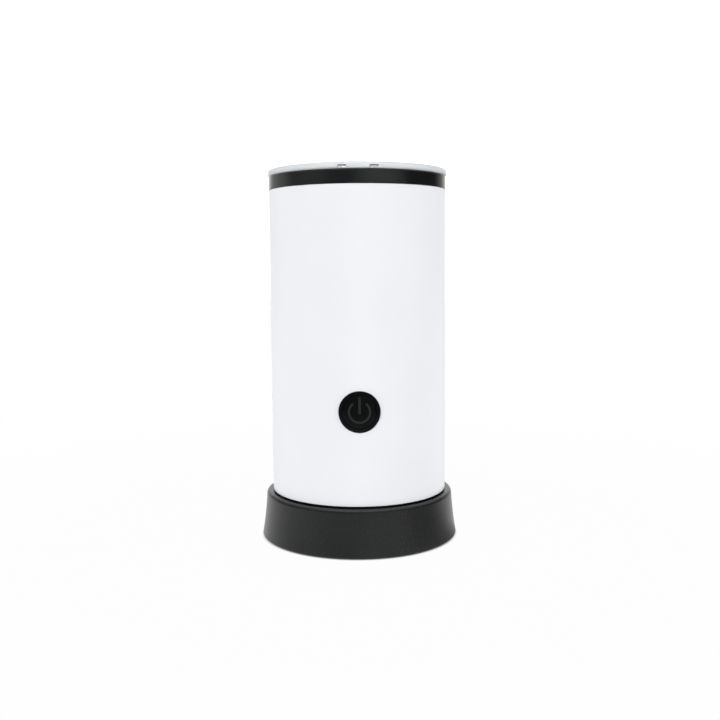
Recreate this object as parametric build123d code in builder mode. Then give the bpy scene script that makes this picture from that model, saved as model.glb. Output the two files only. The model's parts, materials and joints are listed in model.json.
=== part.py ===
from build123d import *
import math
import os

# Electric milk frother: a heated jug with a clear lid and a magnet-driven whisk, on a cordless dock.
# Millimetres, +Z up, origin on the table under the middle of the dock. The button faces -Y.

os.makedirs("parts", exist_ok=True)

# Clearances
press_gap = 0.01  # round a shaft that is pressed into what it carries
run_gap = 0.05  # round a shaft or pin that turns in its bore
fit_gap = 0.1  # round a piece that is pushed in and stays there
slide_gap = 0.2  # round a piece that slides in another
rest_gap = 0.3  # under a piece that sits loosely on its seat
mate_gap = 1.0  # between the faces of plug and socket

# Screws: shank, pan head and cross recess
screw_radius = 1.3
screw_head_radius = 2.6
screw_head_height = 1.4
screw_head_sink = 0.2
screw_reach = 6.0
screw_pilot_room = 1.0
cross_length = 2.8
cross_width = 0.7
cross_depth = 0.8
motor_screw_radius = 1.2
motor_screw_reach = 2.5
motor_screw_circle = 8.0

# Dock
foot_stand = 0.4
foot_radius = 6.0
foot_height = 2.2
foot_round = 0.5
foot_inset = 11.0
foot_count = 3
foot_angle = 90.0
plate_thickness = 2.4
dock_deck = 2.2
recess_depth = 9.45
dock_gap = 0.8
rim_width = 4.35
rim_round = 1.8
rim_inner_round = 0.6
dock_flare = 2.7
flare_sag = 0.35
dock_edge_round = 0.6
dock_wall = 2.4
dock_boss_radius = 3.6
dock_boss_inset = 8.0
dock_screw_count = 3
dock_screw_angle = 30.0
gland_bore = 3.3
gland_wall = 0.9
gland_room = 0.7
gland_tail = 2.5
gland_proud = 0.3
gland_round = 0.3

# Cordless connector: a middle pin and two rings on the jug, slots and leaf contacts in the dock
pin_radius = 2.0
inner_ring_radius = 7.0
outer_ring_radius = 12.0
ring_thickness = 1.0
ring_reach = 8.0
slot_gap = 0.7
socket_wall = 3.3
socket_rise = 10.0
socket_round = 1.0
socket_flange = 4.0
socket_flange_thickness = 2.5
socket_post_radius = 1.6
leaf_thickness = 0.4
leaf_width = 2.4
leaf_drop = 2.0
leaf_tab = 3.5
pin_leaf_angle = 90.0
inner_leaf_angle = 210.0
outer_leaf_angle = 330.0
port_margin = 1.5
well_gap = 1.5
plug_overlap = 1.0
plug_flange_thickness = 2.2
groove_depth = 3.0
tail_width = 5.0
tail_height = 5.0

# Jug
body_radius = 46.4
shell_wall = 1.0
jug_foot_inset = 1.8
shadow_gap = 0.85
base_lip = 0.45
base_lip_inset = 0.7
base_wall = 2.0
base_sleeve_height = 8.0
base_edge_round = 0.8
works_height = 79.0
cup_wall = 1.2
cup_depth = 93.8
cup_gap = 6.5
cup_taper = 1.3
cup_corner = 4.0
cup_flange = 3.5
cup_lip_round = 0.9
gasket_thickness = 1.0
gasket_inset = 0.8
rim_drop = 1.4
collar_band = 7.1
collar_round = 0.8
collar_mouth_gap = 1.0
collar_sleeve_wall = 1.6
collar_sleeve_height = 6.0

# Lid
lid_thickness = 3.1
lid_overhang = 0.3
lid_round = 0.7
lid_dish = 0.4
lid_dish_inset = 4.5
skirt_room = 1.6
skirt_wall = 1.8
skirt_height = 9.0
skirt_round = 0.5
seal_drop = 2.2
seal_height = 4.0
seal_sink = 0.7
seal_lip = 0.9
vent_width = 4.2
vent_height = 1.2
vent_floor = 0.5
vent_spacing = 15.5
vent_port = 3.0
vent_port_inset = 2.4

# Whisk
whisk_pin_radius = 1.5
whisk_pin_height = 15.0
whisk_pin_round = 0.8
pin_foot_radius = 4.5
pin_foot_height = 0.8
hub_disc_radius = 12.5
hub_disc_height = 7.0
hub_disc_round = 1.2
hub_neck_radius = 4.2
hub_knob_radius = 6.0
hub_knob_height = 5.0
hub_knob_round = 1.6
hub_roof = 4.0
whisk_ring_radius = 20.0
whisk_wire_radius = 0.7
whisk_ring_rise = 5.0
spoke_count = 4
spoke_radius = 0.6
spoke_bite = 2.2
coil_radius = 3.0
coil_wire_radius = 0.4
curls_round = 40
curls_open = 1
coil_open_angle = 45.0

# Magnets, one set in the whisk and one in the drive disc under the cup
magnet_count = 4
magnet_radius = 3.4
magnet_height = 3.0
magnet_circle = 8.0

# Heater
heater_plate_thickness = 2.5
heater_width = 5.0
heater_height = 5.5
heater_round = 1.1
heater_lane = 2.0
heater_open_angle = 25.0
heater_pin_radius = 1.2
heater_pin_set = 2.2
heater_pin_length = 10.8
stud_radius = 1.5
stud_lane = 2.4
stud_margin = 1.8
stud_tip = 1.5
nut_sides = 6
nut_flats = 5.5
nut_height = 2.4
sensor_lane = 6.5
sensor_radius = 2.2
sensor_height = 7.0
thermostat_radius = 7.0
thermostat_height = 6.0
thermostat_tab_spacing = 8.0
thermostat_tab_width = 3.2
thermostat_tab_thickness = 0.8
thermostat_tab_length = 8.0

# Motor and drive
deck_clear = 3.3
chassis_deck = 2.5
deck_gap = 1.0
deck_hole_gap = 1.0
leg_radius = 3.5
leg_inset = 6.5
leg_count = 4
leg_angle = 45.0
hold_width = 5.0
hold_thickness = 2.5
arm_width = 4.0
motor_radius = 12.0
motor_length = 25.0
motor_round = 1.0
can_wall = 1.0
motor_boss_radius = 4.0
motor_boss_height = 2.0
bush_radius = 2.5
end_cap_thickness = 3.0
end_boss_radius = 3.5
end_boss_height = 2.0
end_bore_floor = 0.8
motor_tab_spacing = 16.0
motor_tab_width = 2.5
motor_tab_thickness = 0.6
motor_tab_length = 2.0
shaft_radius = 1.0
armature_radius = 7.6
armature_inset = 4.0
armature_slot_count = 3
armature_slot = 2.2
armature_slot_floor = 3.4
commutator_radius = 3.0
air_gap = 0.6
magnet_split = 7.0
drive_gap = 1.0
drive_thickness = 5.0
drive_radius = 14.0
drive_hub_radius = 4.5
drive_hub_height = 2.5
drive_roof = 0.8
drive_round = 0.6

# Boards and leads
board_gap = 6.5
board_width = 44.0
board_height = 30.0
board_thickness = 1.6
board_drop = 8.0
rail_wall = 2.0
rail_bite = 1.2
relay_width = 16.0
relay_depth = 12.0
relay_height = 15.0
relay_round = 0.6
relay_x = 11.0
relay_rise = 3.0
capacitor_radius = 5.0
capacitor_length = 11.0
capacitor_round = 0.7
capacitor_x = -10.0
capacitor_rise = 8.0
header_width = 17.0
header_depth = 8.0
header_height = 6.0
header_x = -8.0
header_rise = 16.0
supply_lead_radius = 0.9
supply_lead_rise = 4.0
heater_lead_radius = 1.1
heater_jumper_drop = 5.5
motor_lead_radius = 0.7
motor_lead_drop = 3.2
button_lead_radius = 1.1
button_lead_rise = 24.0
button_lead_out = 8.0
button_lead_gap = 3.0
sensor_lead_radius = 0.7
sensor_lead_rise = 27.0
lead_bend = 2.4
small_bend = 2.0

# Button
button_drop = 21.3
bezel_radius = 10.4
bezel_proud = 0.5
bezel_round = 0.3
neck_radius = 9.8
neck_depth = 9.0
cap_radius = 8.2
cap_proud = 0.25
cap_round = 0.4
cap_depth = 4.2
cap_wall = 1.6
cap_flange = 0.6
cap_flange_thickness = 1.2
stem_radius = 2.2
symbol_radius = 5.2
symbol_stroke = 1.1
symbol_bar_width = 1.25
symbol_gap_angle = 42.0
symbol_bar_top = 7.3
symbol_bar_bottom = -1.1
symbol_depth = 0.6
housing_wall = 2.0
housing_room = 2.0
stake_radius = 0.9
stake_length = 2.4
stake_spacing = 14.0
button_board_size = 19.0
switch_size = 6.2
switch_depth = 3.5
plunger_radius = 1.7
plunger_proud = 1.0
plunger_bite = 1.0
plunger_room = 1.2
led_radius = 1.5
led_length = 4.2
led_rise = 5.4

# Radii that follow from the sizes above
shell_inner = body_radius - shell_wall
jug_foot_radius = body_radius - jug_foot_inset
jug_foot_inner = jug_foot_radius - base_wall
base_lip_radius = body_radius - base_lip_inset
recess_radius = jug_foot_radius + dock_gap
rim_radius = recess_radius + rim_width
dock_radius = rim_radius + dock_flare
lid_radius = body_radius + lid_overhang
cup_outer = shell_inner - cup_gap
cup_inner = cup_outer - cup_wall
cup_bottom_outer = cup_outer - cup_taper
cup_bottom_inner = cup_bottom_outer - cup_wall
flange_radius = cup_outer + cup_flange
collar_mouth = cup_outer + collar_mouth_gap
skirt_outer = cup_inner - skirt_room
skirt_inner = skirt_outer - skirt_wall
gland_radius = gland_bore + gland_wall
ring_half = ring_thickness / 2
slot_half = ring_half + slot_gap
pin_hole = pin_radius + slot_gap
socket_radius = outer_ring_radius + slot_half + socket_wall
socket_flange_radius = socket_radius + socket_flange
socket_post_circle = socket_radius + socket_flange / 2
port_radius = outer_ring_radius + ring_half + port_margin
well_radius = socket_radius + well_gap
well_outer = well_radius + base_wall
plug_flange_radius = well_outer + plug_overlap
base_sleeve = shell_inner - fit_gap
deck_radius = shell_inner - deck_gap
leg_circle = shell_inner - leg_inset
heater_plate_inner = drive_radius + sensor_lane
heater_radius = heater_plate_inner + heater_lane + heater_width / 2
stud_circle = heater_radius + heater_width / 2 + stud_lane
heater_plate_outer = stud_circle + stud_margin
sensor_circle = drive_radius + sensor_lane / 2
can_inner = motor_radius - can_wall

# Heights that follow from the sizes above, from the table up
dock_edge_z = foot_stand
plate_top_z = dock_edge_z + plate_thickness
dock_room = 2 * (gland_radius + gland_room)
dock_deck_z = plate_top_z + dock_room
recess_z = dock_deck_z + dock_deck
dock_rim_z = recess_z + recess_depth
dock_height = dock_rim_z - dock_edge_z
gland_z = plate_top_z + dock_room / 2
socket_bottom_z = dock_deck_z - socket_flange_thickness
socket_top_z = recess_z + socket_rise
slot_floor_z = socket_top_z - ring_reach
jug_floor_z = recess_z
base_floor_z = jug_floor_z + base_wall
shell_bottom_z = dock_rim_z + shadow_gap
base_lip_z = shell_bottom_z - base_lip
base_sleeve_z = shell_bottom_z + base_sleeve_height
well_roof_z = socket_top_z + mate_gap
well_top_z = well_roof_z + base_wall
plug_top_z = well_top_z + plug_flange_thickness
groove_top_z = well_roof_z + groove_depth
ring_tip_z = well_roof_z - ring_reach
tail_top_z = plug_top_z + tail_height
cup_under_z = jug_floor_z + works_height
cup_floor_z = cup_under_z + cup_wall
cup_rim_z = cup_floor_z + cup_depth
flange_under_z = cup_rim_z - cup_wall
seat_z = flange_under_z - gasket_thickness
collar_top_z = cup_rim_z + rim_drop
shell_top_z = collar_top_z - collar_band
lid_under_z = collar_top_z
lid_top_z = lid_under_z + lid_thickness
skirt_tip_z = lid_under_z - skirt_height
seal_top_z = lid_under_z - seal_drop
heater_plate_z = cup_under_z - heater_plate_thickness
heater_under_z = heater_plate_z - heater_height
heater_pin_z = heater_under_z - heater_pin_length
deck_top_z = heater_under_z - deck_clear
deck_under_z = deck_top_z - chassis_deck
drive_top_z = cup_under_z - drive_gap
drive_under_z = drive_top_z - drive_thickness
drive_hub_z = drive_under_z - drive_hub_height
motor_top_z = deck_under_z
motor_bottom_z = motor_top_z - motor_length
motor_tab_z = motor_bottom_z - motor_tab_length
board_top_z = deck_under_z - board_drop
board_bottom_z = board_top_z - board_height
rail_bottom_z = board_bottom_z - rail_wall
header_top_z = board_bottom_z + header_rise + header_height
button_z = cup_under_z - button_drop
hub_bottom_z = cup_floor_z + pin_foot_height + rest_gap
whisk_pin_z = cup_floor_z + whisk_pin_height
hub_bore_z = whisk_pin_z + rest_gap
hub_top_z = hub_bore_z + hub_roof
whisk_ring_z = hub_bottom_z + whisk_ring_rise

# Places along Y: boards behind the motor, and the button's layers counted in from the jug's front
board_front_y = motor_radius + board_gap
board_back_y = board_front_y + board_thickness
neck_end = body_radius - neck_depth
cap_shoulder = body_radius - cap_depth
cap_back = cap_shoulder - cap_flange_thickness
housing_wall_front = neck_end - housing_room
housing_back = housing_wall_front - housing_wall
button_board_back = housing_back - board_thickness
switch_front = housing_back + switch_depth
plunger_front = switch_front + plunger_proud
housing_radius = neck_radius + fit_gap + housing_wall
button_span = 2 * housing_radius  # a height that holds the whole button
notch_y = -(button_board_back - stake_length)

# Planes of the button, facing -Y, and of the cord inlet, facing +Y
button_plane = Plane(origin=(0, 0, button_z), x_dir=(1, 0, 0), z_dir=(0, -1, 0))
inlet_plane = Plane(origin=(0, 0, gland_z), x_dir=(1, 0, 0), z_dir=(0, 1, 0))


def dock_inside(z):
    """Radius of the dock's inner face at a height."""
    return dock_radius - dock_wall - dock_flare * (z - dock_edge_z) / dock_height


def polar(radius, angle):
    """Place at a radius and an angle in degrees, seen from above."""
    return (radius * math.cos(math.radians(angle)), radius * math.sin(math.radians(angle)))


def turned(outline, mode=Mode.ADD):
    """Revolve an outline of (radius, height) or (radius, height, corner rounding)."""
    places = [corner[:2] for corner in outline]
    rounds = [corner[2] if len(corner) == 3 else 0 for corner in outline]
    with BuildSketch(Plane.XZ) as section:
        with BuildLine():
            FilletPolyline(*places, radius=rounds, close=True)
        make_face()
    revolve(section.sketch, axis=Axis.Z, mode=mode)


def ring_arc(inner, outer, width, angle, low_z, high_z, mode=Mode.ADD):
    """A short upright piece of a ring wall, as wide as stated."""
    with BuildSketch(Plane.XY.offset(low_z)) as section:
        Circle(outer)
        Circle(inner, mode=Mode.SUBTRACT)
        with PolarLocations(outer, 1, start_angle=angle):
            Rectangle(outer, width, mode=Mode.INTERSECT)
    extrude(section.sketch, amount=high_z - low_z, mode=mode)


def discs(places, radius, low_z, high_z, mode=Mode.ADD):
    """Upright round bars or holes at the stated places."""
    with BuildSketch(Plane.XY.offset(low_z)) as section:
        with Locations(*places):
            Circle(radius)
    extrude(section.sketch, amount=high_z - low_z, mode=mode)


def pan_screws(places, seat, direction, shank_radius, shank_length):
    """Pan-head screws: seat is the head's bearing height, direction +1 drives the shank upwards."""
    head_end = seat - direction * screw_head_height
    recess_end = head_end + direction * cross_depth
    discs(places, screw_head_radius, seat, head_end)
    discs(places, shank_radius, seat, seat + direction * shank_length)
    with BuildSketch(Plane.XY.offset(head_end)) as section:
        with Locations(*places):
            Rectangle(cross_length, cross_width)
            Rectangle(cross_width, cross_length)
    extrude(section.sketch, amount=recess_end - head_end, mode=Mode.SUBTRACT)


def barrel(radius, back, front, mode=Mode.ADD):
    """A round bar or hole along the button's axis, between two distances from the jug's axis."""
    with BuildSketch(button_plane.offset(back)) as section:
        Circle(radius)
    extrude(section.sketch, amount=front - back, mode=mode)


def round_front(radius):
    """Trim what stands out of an upright cylinder about the jug's axis."""
    with Locations((0, 0, button_z)):
        Cylinder(radius, button_span, mode=Mode.INTERSECT)


def lead(points, radius, bend):
    """A round lead along straight runs with bends between them."""
    with BuildLine() as route:
        FilletPolyline(*points, radius=bend)
    with BuildSketch(Plane(origin=points[0], z_dir=route.line % 0)) as section:
        Circle(radius)
    sweep(section.sketch, path=route.line)


def save(piece, name):
    """Name a finished piece and write it to its own file."""
    piece.part.label = name
    export_step(piece.part, f"parts/{name}.step")


# Places that several pieces share
plate_radius = dock_inside(plate_top_z) - fit_gap
foot_circle = plate_radius - foot_inset
foot_places = [polar(foot_circle, foot_angle + i * 360 / foot_count) for i in range(foot_count)]
dock_boss_circle = plate_radius - dock_boss_inset
dock_screw_step = 360 / dock_screw_count
dock_screw_angles = [dock_screw_angle + i * dock_screw_step for i in range(dock_screw_count)]
dock_screw_places = [polar(dock_boss_circle, angle) for angle in dock_screw_angles]
socket_post_places = [polar(socket_post_circle, angle) for angle in dock_screw_angles]
leg_places = [polar(leg_circle, leg_angle + i * 360 / leg_count) for i in range(leg_count)]
magnet_places = [polar(magnet_circle, i * 360 / magnet_count) for i in range(magnet_count)]
motor_screw_places = [(-motor_screw_circle, 0), (motor_screw_circle, 0)]
stud_places = [(-stud_circle, 0), (stud_circle, 0)]
heater_pin_angle = heater_open_angle + math.degrees(heater_pin_set / heater_radius)
heater_pin_places = [polar(heater_radius, 90 + side * heater_pin_angle) for side in (1, -1)]
thermostat_tab_places = [(side * thermostat_tab_spacing / 2, heater_radius) for side in (-1, 1)]
motor_tab_places = [(-motor_tab_spacing / 2, 0), (motor_tab_spacing / 2, 0)]
socket_leaves = [
    (pin_hole, pin_leaf_angle),
    (inner_ring_radius + slot_half, inner_leaf_angle),
    (outer_ring_radius + slot_half, outer_leaf_angle),
]
plug_tails = [(inner_ring_radius, inner_leaf_angle), (outer_ring_radius, outer_leaf_angle)]

# Dock shell: flared skirt, rounded rim, recess for the jug and a deck with the connector's hole
with BuildPart() as dock_shell:
    with BuildSketch(Plane.XZ) as dock_section:
        with BuildLine():
            flank = ThreePointArc(
                (rim_radius, dock_rim_z),
                ((rim_radius + dock_radius) / 2 - flare_sag, (dock_rim_z + dock_edge_z) / 2),
                (dock_radius, dock_edge_z),
            )
            Polyline(
                flank @ 1,
                (dock_inside(dock_edge_z), dock_edge_z),
                (dock_inside(dock_deck_z), dock_deck_z),
                (socket_radius + fit_gap, dock_deck_z),
                (socket_radius + fit_gap, recess_z),
                (recess_radius, recess_z),
                (recess_radius, dock_rim_z),
                flank @ 0,
            )
        make_face()
        fillet(dock_section.vertices().sort_by_distance((dock_radius, dock_edge_z))[0], dock_edge_round)
        fillet(dock_section.vertices().sort_by_distance((rim_radius, dock_rim_z))[0], rim_round)
        fillet(dock_section.vertices().sort_by_distance((recess_radius, dock_rim_z))[0], rim_inner_round)
    revolve(axis=Axis.Z)
    discs(dock_screw_places, dock_boss_radius, plate_top_z, dock_deck_z)
    pilot_z = plate_top_z + screw_reach + screw_pilot_room
    discs(dock_screw_places, screw_radius + fit_gap, plate_top_z, pilot_z, Mode.SUBTRACT)
    with BuildSketch(inlet_plane):
        Circle(gland_radius + fit_gap)
    extrude(amount=dock_radius, mode=Mode.SUBTRACT)
save(dock_shell, "dock_shell")

# Dock plate: closes the underside, carries the feet and props the connector
with BuildPart() as dock_plate:
    discs([(0, 0)], plate_radius, dock_edge_z, plate_top_z)
    discs(socket_post_places, socket_post_radius, plate_top_z, socket_bottom_z)
    discs(foot_places, foot_radius + fit_gap, dock_edge_z, foot_height, Mode.SUBTRACT)
    dock_head_z = dock_edge_z + screw_head_sink + screw_head_height
    discs(dock_screw_places, screw_radius + fit_gap, dock_edge_z, plate_top_z, Mode.SUBTRACT)
    discs(dock_screw_places, screw_head_radius + slide_gap, dock_edge_z, dock_head_z, Mode.SUBTRACT)
save(dock_plate, "dock_plate")

with BuildPart() as dock_feet:
    discs(foot_places, foot_radius, 0, foot_height)
    fillet(dock_feet.edges().group_by(Axis.Z)[0], foot_round)
save(dock_feet, "dock_feet")

with BuildPart() as dock_screws:
    pan_screws(dock_screw_places, dock_head_z, 1, screw_radius, plate_top_z - dock_head_z + screw_reach)
save(dock_screws, "dock_screws")

# Dock connector: a round boss with a hole and two ring slots for the jug's contacts
with BuildPart() as dock_socket:
    turned(
        [
            (0, socket_bottom_z),
            (socket_flange_radius, socket_bottom_z),
            (socket_flange_radius, dock_deck_z),
            (socket_radius, dock_deck_z),
            (socket_radius, socket_top_z, socket_round),
            (0, socket_top_z),
        ]
    )
    discs([(0, 0)], pin_hole, slot_floor_z, socket_top_z, Mode.SUBTRACT)
    for ring in (inner_ring_radius, outer_ring_radius):
        turned(
            [
                (ring - slot_half, slot_floor_z),
                (ring + slot_half, slot_floor_z),
                (ring + slot_half, socket_top_z),
                (ring - slot_half, socket_top_z),
            ],
            Mode.SUBTRACT,
        )
    for slot_wall, angle in socket_leaves:
        slit_inner = slot_wall - leaf_thickness - 2 * fit_gap
        slit_width = leaf_width + 2 * fit_gap
        ring_arc(slit_inner, slot_wall, slit_width, angle, socket_bottom_z, slot_floor_z, Mode.SUBTRACT)
save(dock_socket, "dock_socket")

# Leaf contacts in the slots, each with a tab for a lead under the connector
with BuildPart() as socket_contacts:
    for slot_wall, angle in socket_leaves:
        leaf_outer = slot_wall - fit_gap
        leaf_inner = leaf_outer - leaf_thickness
        leaf_low_z = socket_bottom_z - leaf_tab
        ring_arc(leaf_inner, leaf_outer, leaf_width, angle, leaf_low_z, socket_top_z - leaf_drop)
save(socket_contacts, "socket_contacts")

# Cord gland: a bush through the dock's rear wall
with BuildPart() as cord_gland:
    gland_in = dock_inside(gland_z) - gland_tail
    gland_out = dock_inside(gland_z) + dock_wall + gland_proud
    with BuildSketch(inlet_plane.offset(gland_in)):
        Circle(gland_radius)
        Circle(gland_bore, mode=Mode.SUBTRACT)
    extrude(amount=gland_out - gland_in)
    fillet(cord_gland.edges().group_by(Axis.Y)[-1].sort_by(SortBy.RADIUS)[-1], gland_round)
save(cord_gland, "cord_gland")

# Jug base: a foot that drops into the dock, a thin lip under the shell and a well over the connector
with BuildPart() as jug_base:
    turned(
        [
            (well_radius, jug_floor_z),
            (jug_foot_radius, jug_floor_z, base_edge_round),
            (jug_foot_radius, base_lip_z),
            (base_lip_radius, base_lip_z),
            (base_lip_radius, shell_bottom_z),
            (base_sleeve, shell_bottom_z),
            (base_sleeve, base_sleeve_z),
            (jug_foot_inner, base_sleeve_z),
            (jug_foot_inner, base_floor_z),
            (well_outer, base_floor_z),
            (well_outer, well_top_z),
            (port_radius, well_top_z),
            (port_radius, well_roof_z),
            (well_radius, well_roof_z),
        ]
    )
    base_head_z = jug_floor_z + screw_head_sink + screw_head_height
    discs(leg_places, screw_radius + fit_gap, jug_floor_z, base_floor_z, Mode.SUBTRACT)
    discs(leg_places, screw_head_radius + slide_gap, jug_floor_z, base_head_z, Mode.SUBTRACT)
save(jug_base, "jug_base")

with BuildPart() as base_screws:
    pan_screws(leg_places, base_head_z, 1, screw_radius, base_floor_z - base_head_z + screw_reach)
save(base_screws, "base_screws")

# Jug connector: an insulating disc in the well's roof that holds the pin and the two rings
with BuildPart() as jug_plug:
    turned(
        [
            (0, well_roof_z),
            (port_radius - fit_gap, well_roof_z),
            (port_radius - fit_gap, well_top_z),
            (plug_flange_radius, well_top_z),
            (plug_flange_radius, plug_top_z),
            (0, plug_top_z),
        ]
    )
    discs([(0, 0)], pin_radius + fit_gap, well_roof_z, plug_top_z, Mode.SUBTRACT)
    for ring, angle in plug_tails:
        groove_inner = ring - ring_half - fit_gap
        groove_outer = ring + ring_half + fit_gap
        turned(
            [
                (groove_inner, well_roof_z),
                (groove_outer, well_roof_z),
                (groove_outer, groove_top_z),
                (groove_inner, groove_top_z),
            ],
            Mode.SUBTRACT,
        )
        slit_width = tail_width + 2 * fit_gap
        ring_arc(groove_inner, groove_outer, slit_width, angle, groove_top_z, plug_top_z, Mode.SUBTRACT)
save(jug_plug, "jug_plug")

with BuildPart() as plug_contacts:
    discs([(0, 0)], pin_radius, ring_tip_z, tail_top_z)
    for ring, angle in plug_tails:
        ring_inner = ring - ring_half
        ring_outer = ring + ring_half
        turned(
            [
                (ring_inner, ring_tip_z),
                (ring_outer, ring_tip_z),
                (ring_outer, groove_top_z),
                (ring_inner, groove_top_z),
            ]
        )
        ring_arc(ring_inner, ring_outer, tail_width, angle, groove_top_z, tail_top_z)
save(plug_contacts, "plug_contacts")

# Outer shell: a plain tube with the button's hole
with BuildPart() as outer_shell:
    turned(
        [
            (shell_inner, shell_bottom_z),
            (body_radius, shell_bottom_z),
            (body_radius, shell_top_z),
            (shell_inner, shell_top_z),
        ]
    )
    barrel(neck_radius + fit_gap, 0, 2 * body_radius, Mode.SUBTRACT)
save(outer_shell, "outer_shell")

# Top collar: the dark band, a seat for the cup's flange and a sleeve inside the shell
with BuildPart() as top_collar:
    collar_sleeve = shell_inner - fit_gap
    collar_sleeve_z = shell_top_z - collar_sleeve_height
    turned(
        [
            (collar_sleeve, shell_top_z),
            (body_radius, shell_top_z),
            (body_radius, collar_top_z, collar_round),
            (flange_radius + slide_gap, collar_top_z),
            (flange_radius + slide_gap, seat_z),
            (collar_mouth, seat_z),
            (collar_mouth, shell_top_z),
            (collar_sleeve - collar_sleeve_wall, shell_top_z),
            (collar_sleeve - collar_sleeve_wall, collar_sleeve_z),
            (collar_sleeve, collar_sleeve_z),
        ]
    )
save(top_collar, "top_collar")

with BuildPart() as cup_gasket:
    turned(
        [
            (collar_mouth + gasket_inset, seat_z),
            (flange_radius, seat_z),
            (flange_radius, flange_under_z),
            (collar_mouth + gasket_inset, flange_under_z),
        ]
    )
save(cup_gasket, "cup_gasket")

# Inner cup: drawn metal with a slight taper, a rounded floor corner and a flat flange
with BuildPart() as inner_cup:
    turned(
        [
            (0, cup_under_z),
            (cup_bottom_outer, cup_under_z, cup_corner + cup_wall),
            (cup_outer, flange_under_z),
            (flange_radius, flange_under_z),
            (flange_radius, cup_rim_z),
            (cup_inner, cup_rim_z, cup_lip_round),
            (cup_bottom_inner, cup_floor_z, cup_corner),
            (0, cup_floor_z),
        ]
    )
save(inner_cup, "inner_cup")

with BuildPart() as whisk_pin:
    turned(
        [
            (0, cup_floor_z),
            (pin_foot_radius, cup_floor_z),
            (pin_foot_radius, cup_floor_z + pin_foot_height),
            (whisk_pin_radius, cup_floor_z + pin_foot_height),
            (whisk_pin_radius, whisk_pin_z, whisk_pin_round),
            (0, whisk_pin_z),
        ]
    )
save(whisk_pin, "whisk_pin")

# Heater: a spreader plate under the cup, a sheathed element round it, pins and clamping studs
with BuildPart() as heater_plate:
    turned(
        [
            (heater_plate_inner, heater_plate_z),
            (heater_plate_outer, heater_plate_z),
            (heater_plate_outer, cup_under_z),
            (heater_plate_inner, cup_under_z),
        ]
    )
save(heater_plate, "heater_plate")

with BuildPart() as heater_element:
    open_x, open_y = polar(1, 90 + heater_open_angle)
    with BuildSketch(Plane(origin=(0, 0, 0), x_dir=(open_x, open_y, 0), z_dir=(open_y, -open_x, 0))):
        with Locations((heater_radius, heater_under_z + heater_height / 2)):
            RectangleRounded(heater_width, heater_height, heater_round)
    revolve(axis=Axis.Z, revolution_arc=360 - 2 * heater_open_angle)
save(heater_element, "heater_element")

with BuildPart() as heater_pins:
    discs(heater_pin_places, heater_pin_radius, heater_pin_z, heater_under_z)
save(heater_pins, "heater_pins")

with BuildPart() as heater_studs:
    discs(stud_places, stud_radius, deck_under_z - nut_height - stud_tip, heater_plate_z)
save(heater_studs, "heater_studs")

with BuildPart() as stud_nuts:
    with BuildSketch(Plane.XY.offset(deck_under_z)):
        with Locations(*stud_places):
            RegularPolygon(nut_flats / 2, nut_sides, major_radius=False)
            Circle(stud_radius + run_gap, mode=Mode.SUBTRACT)
    extrude(amount=-nut_height)
save(stud_nuts, "stud_nuts")

with BuildPart() as thermostat:
    thermostat_z = heater_plate_z - thermostat_height
    discs([(0, heater_radius)], thermostat_radius, thermostat_z, heater_plate_z)
    with BuildSketch(Plane.XY.offset(thermostat_z)):
        with Locations(*thermostat_tab_places):
            Rectangle(thermostat_tab_width, thermostat_tab_thickness)
    extrude(amount=-thermostat_tab_length)
save(thermostat, "thermostat")

with BuildPart() as temperature_sensor:
    discs([(sensor_circle, 0)], sensor_radius, cup_under_z - sensor_height, cup_under_z)
save(temperature_sensor, "temperature_sensor")

# Chassis: a deck under the heater that holds the motor, on legs, with a ring that clamps the plug
with BuildPart() as chassis:
    with BuildSketch(Plane.XY.offset(deck_under_z)):
        Circle(deck_radius)
        with Locations((0, notch_y)):
            notch_width = 2 * (housing_radius + deck_hole_gap)
            Rectangle(notch_width, deck_radius, align=(Align.CENTER, Align.MAX), mode=Mode.SUBTRACT)
    extrude(amount=chassis_deck)
    discs(leg_places, leg_radius, base_floor_z, deck_under_z)
    with BuildSketch(Plane.XY.offset(plug_top_z)):
        hold_middle = plug_flange_radius - hold_width / 2
        with PolarLocations((hold_middle + leg_circle) / 2, leg_count, start_angle=leg_angle):
            Rectangle(leg_circle - hold_middle, arm_width)
        Circle(plug_flange_radius)
        Circle(plug_flange_radius - hold_width, mode=Mode.SUBTRACT)
    extrude(amount=hold_thickness)
    rail_inner = board_width / 2 - rail_bite
    rail_outer = board_width / 2 + rail_wall
    for side in (-1, 1):
        with BuildSketch(Plane.XY.offset(rail_bottom_z)):
            with Locations((side * (rail_inner + rail_outer) / 2, (board_front_y + board_back_y) / 2)):
                Rectangle(rail_outer - rail_inner, board_thickness + 2 * rail_wall)
        extrude(amount=deck_under_z - rail_bottom_z)
    with BuildSketch(Plane.XY.offset(board_bottom_z)):
        with Locations((0, (board_front_y + board_back_y) / 2)):
            Rectangle(board_width + 2 * fit_gap, board_thickness + 2 * fit_gap)
    extrude(amount=board_height + fit_gap, mode=Mode.SUBTRACT)
    leg_pilot_z = base_floor_z + screw_reach + screw_pilot_room
    discs(leg_places, screw_radius + fit_gap, base_floor_z, leg_pilot_z, Mode.SUBTRACT)
    discs([(0, 0)], motor_boss_radius + fit_gap, deck_under_z, deck_top_z, Mode.SUBTRACT)
    discs(motor_screw_places, motor_screw_radius + fit_gap, deck_under_z, deck_top_z, Mode.SUBTRACT)
    discs(stud_places, stud_radius + slide_gap, deck_under_z, deck_top_z, Mode.SUBTRACT)
    discs(heater_pin_places, heater_pin_radius + deck_hole_gap, deck_under_z, deck_top_z, Mode.SUBTRACT)
    tab_hole = thermostat_tab_width / 2 + deck_hole_gap
    discs(thermostat_tab_places, tab_hole, deck_under_z, deck_top_z, Mode.SUBTRACT)
    sensor_hole = sensor_lead_radius + deck_hole_gap
    discs([(sensor_circle, 0)], sensor_hole, deck_under_z, deck_top_z, Mode.SUBTRACT)
save(chassis, "chassis")

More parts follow.
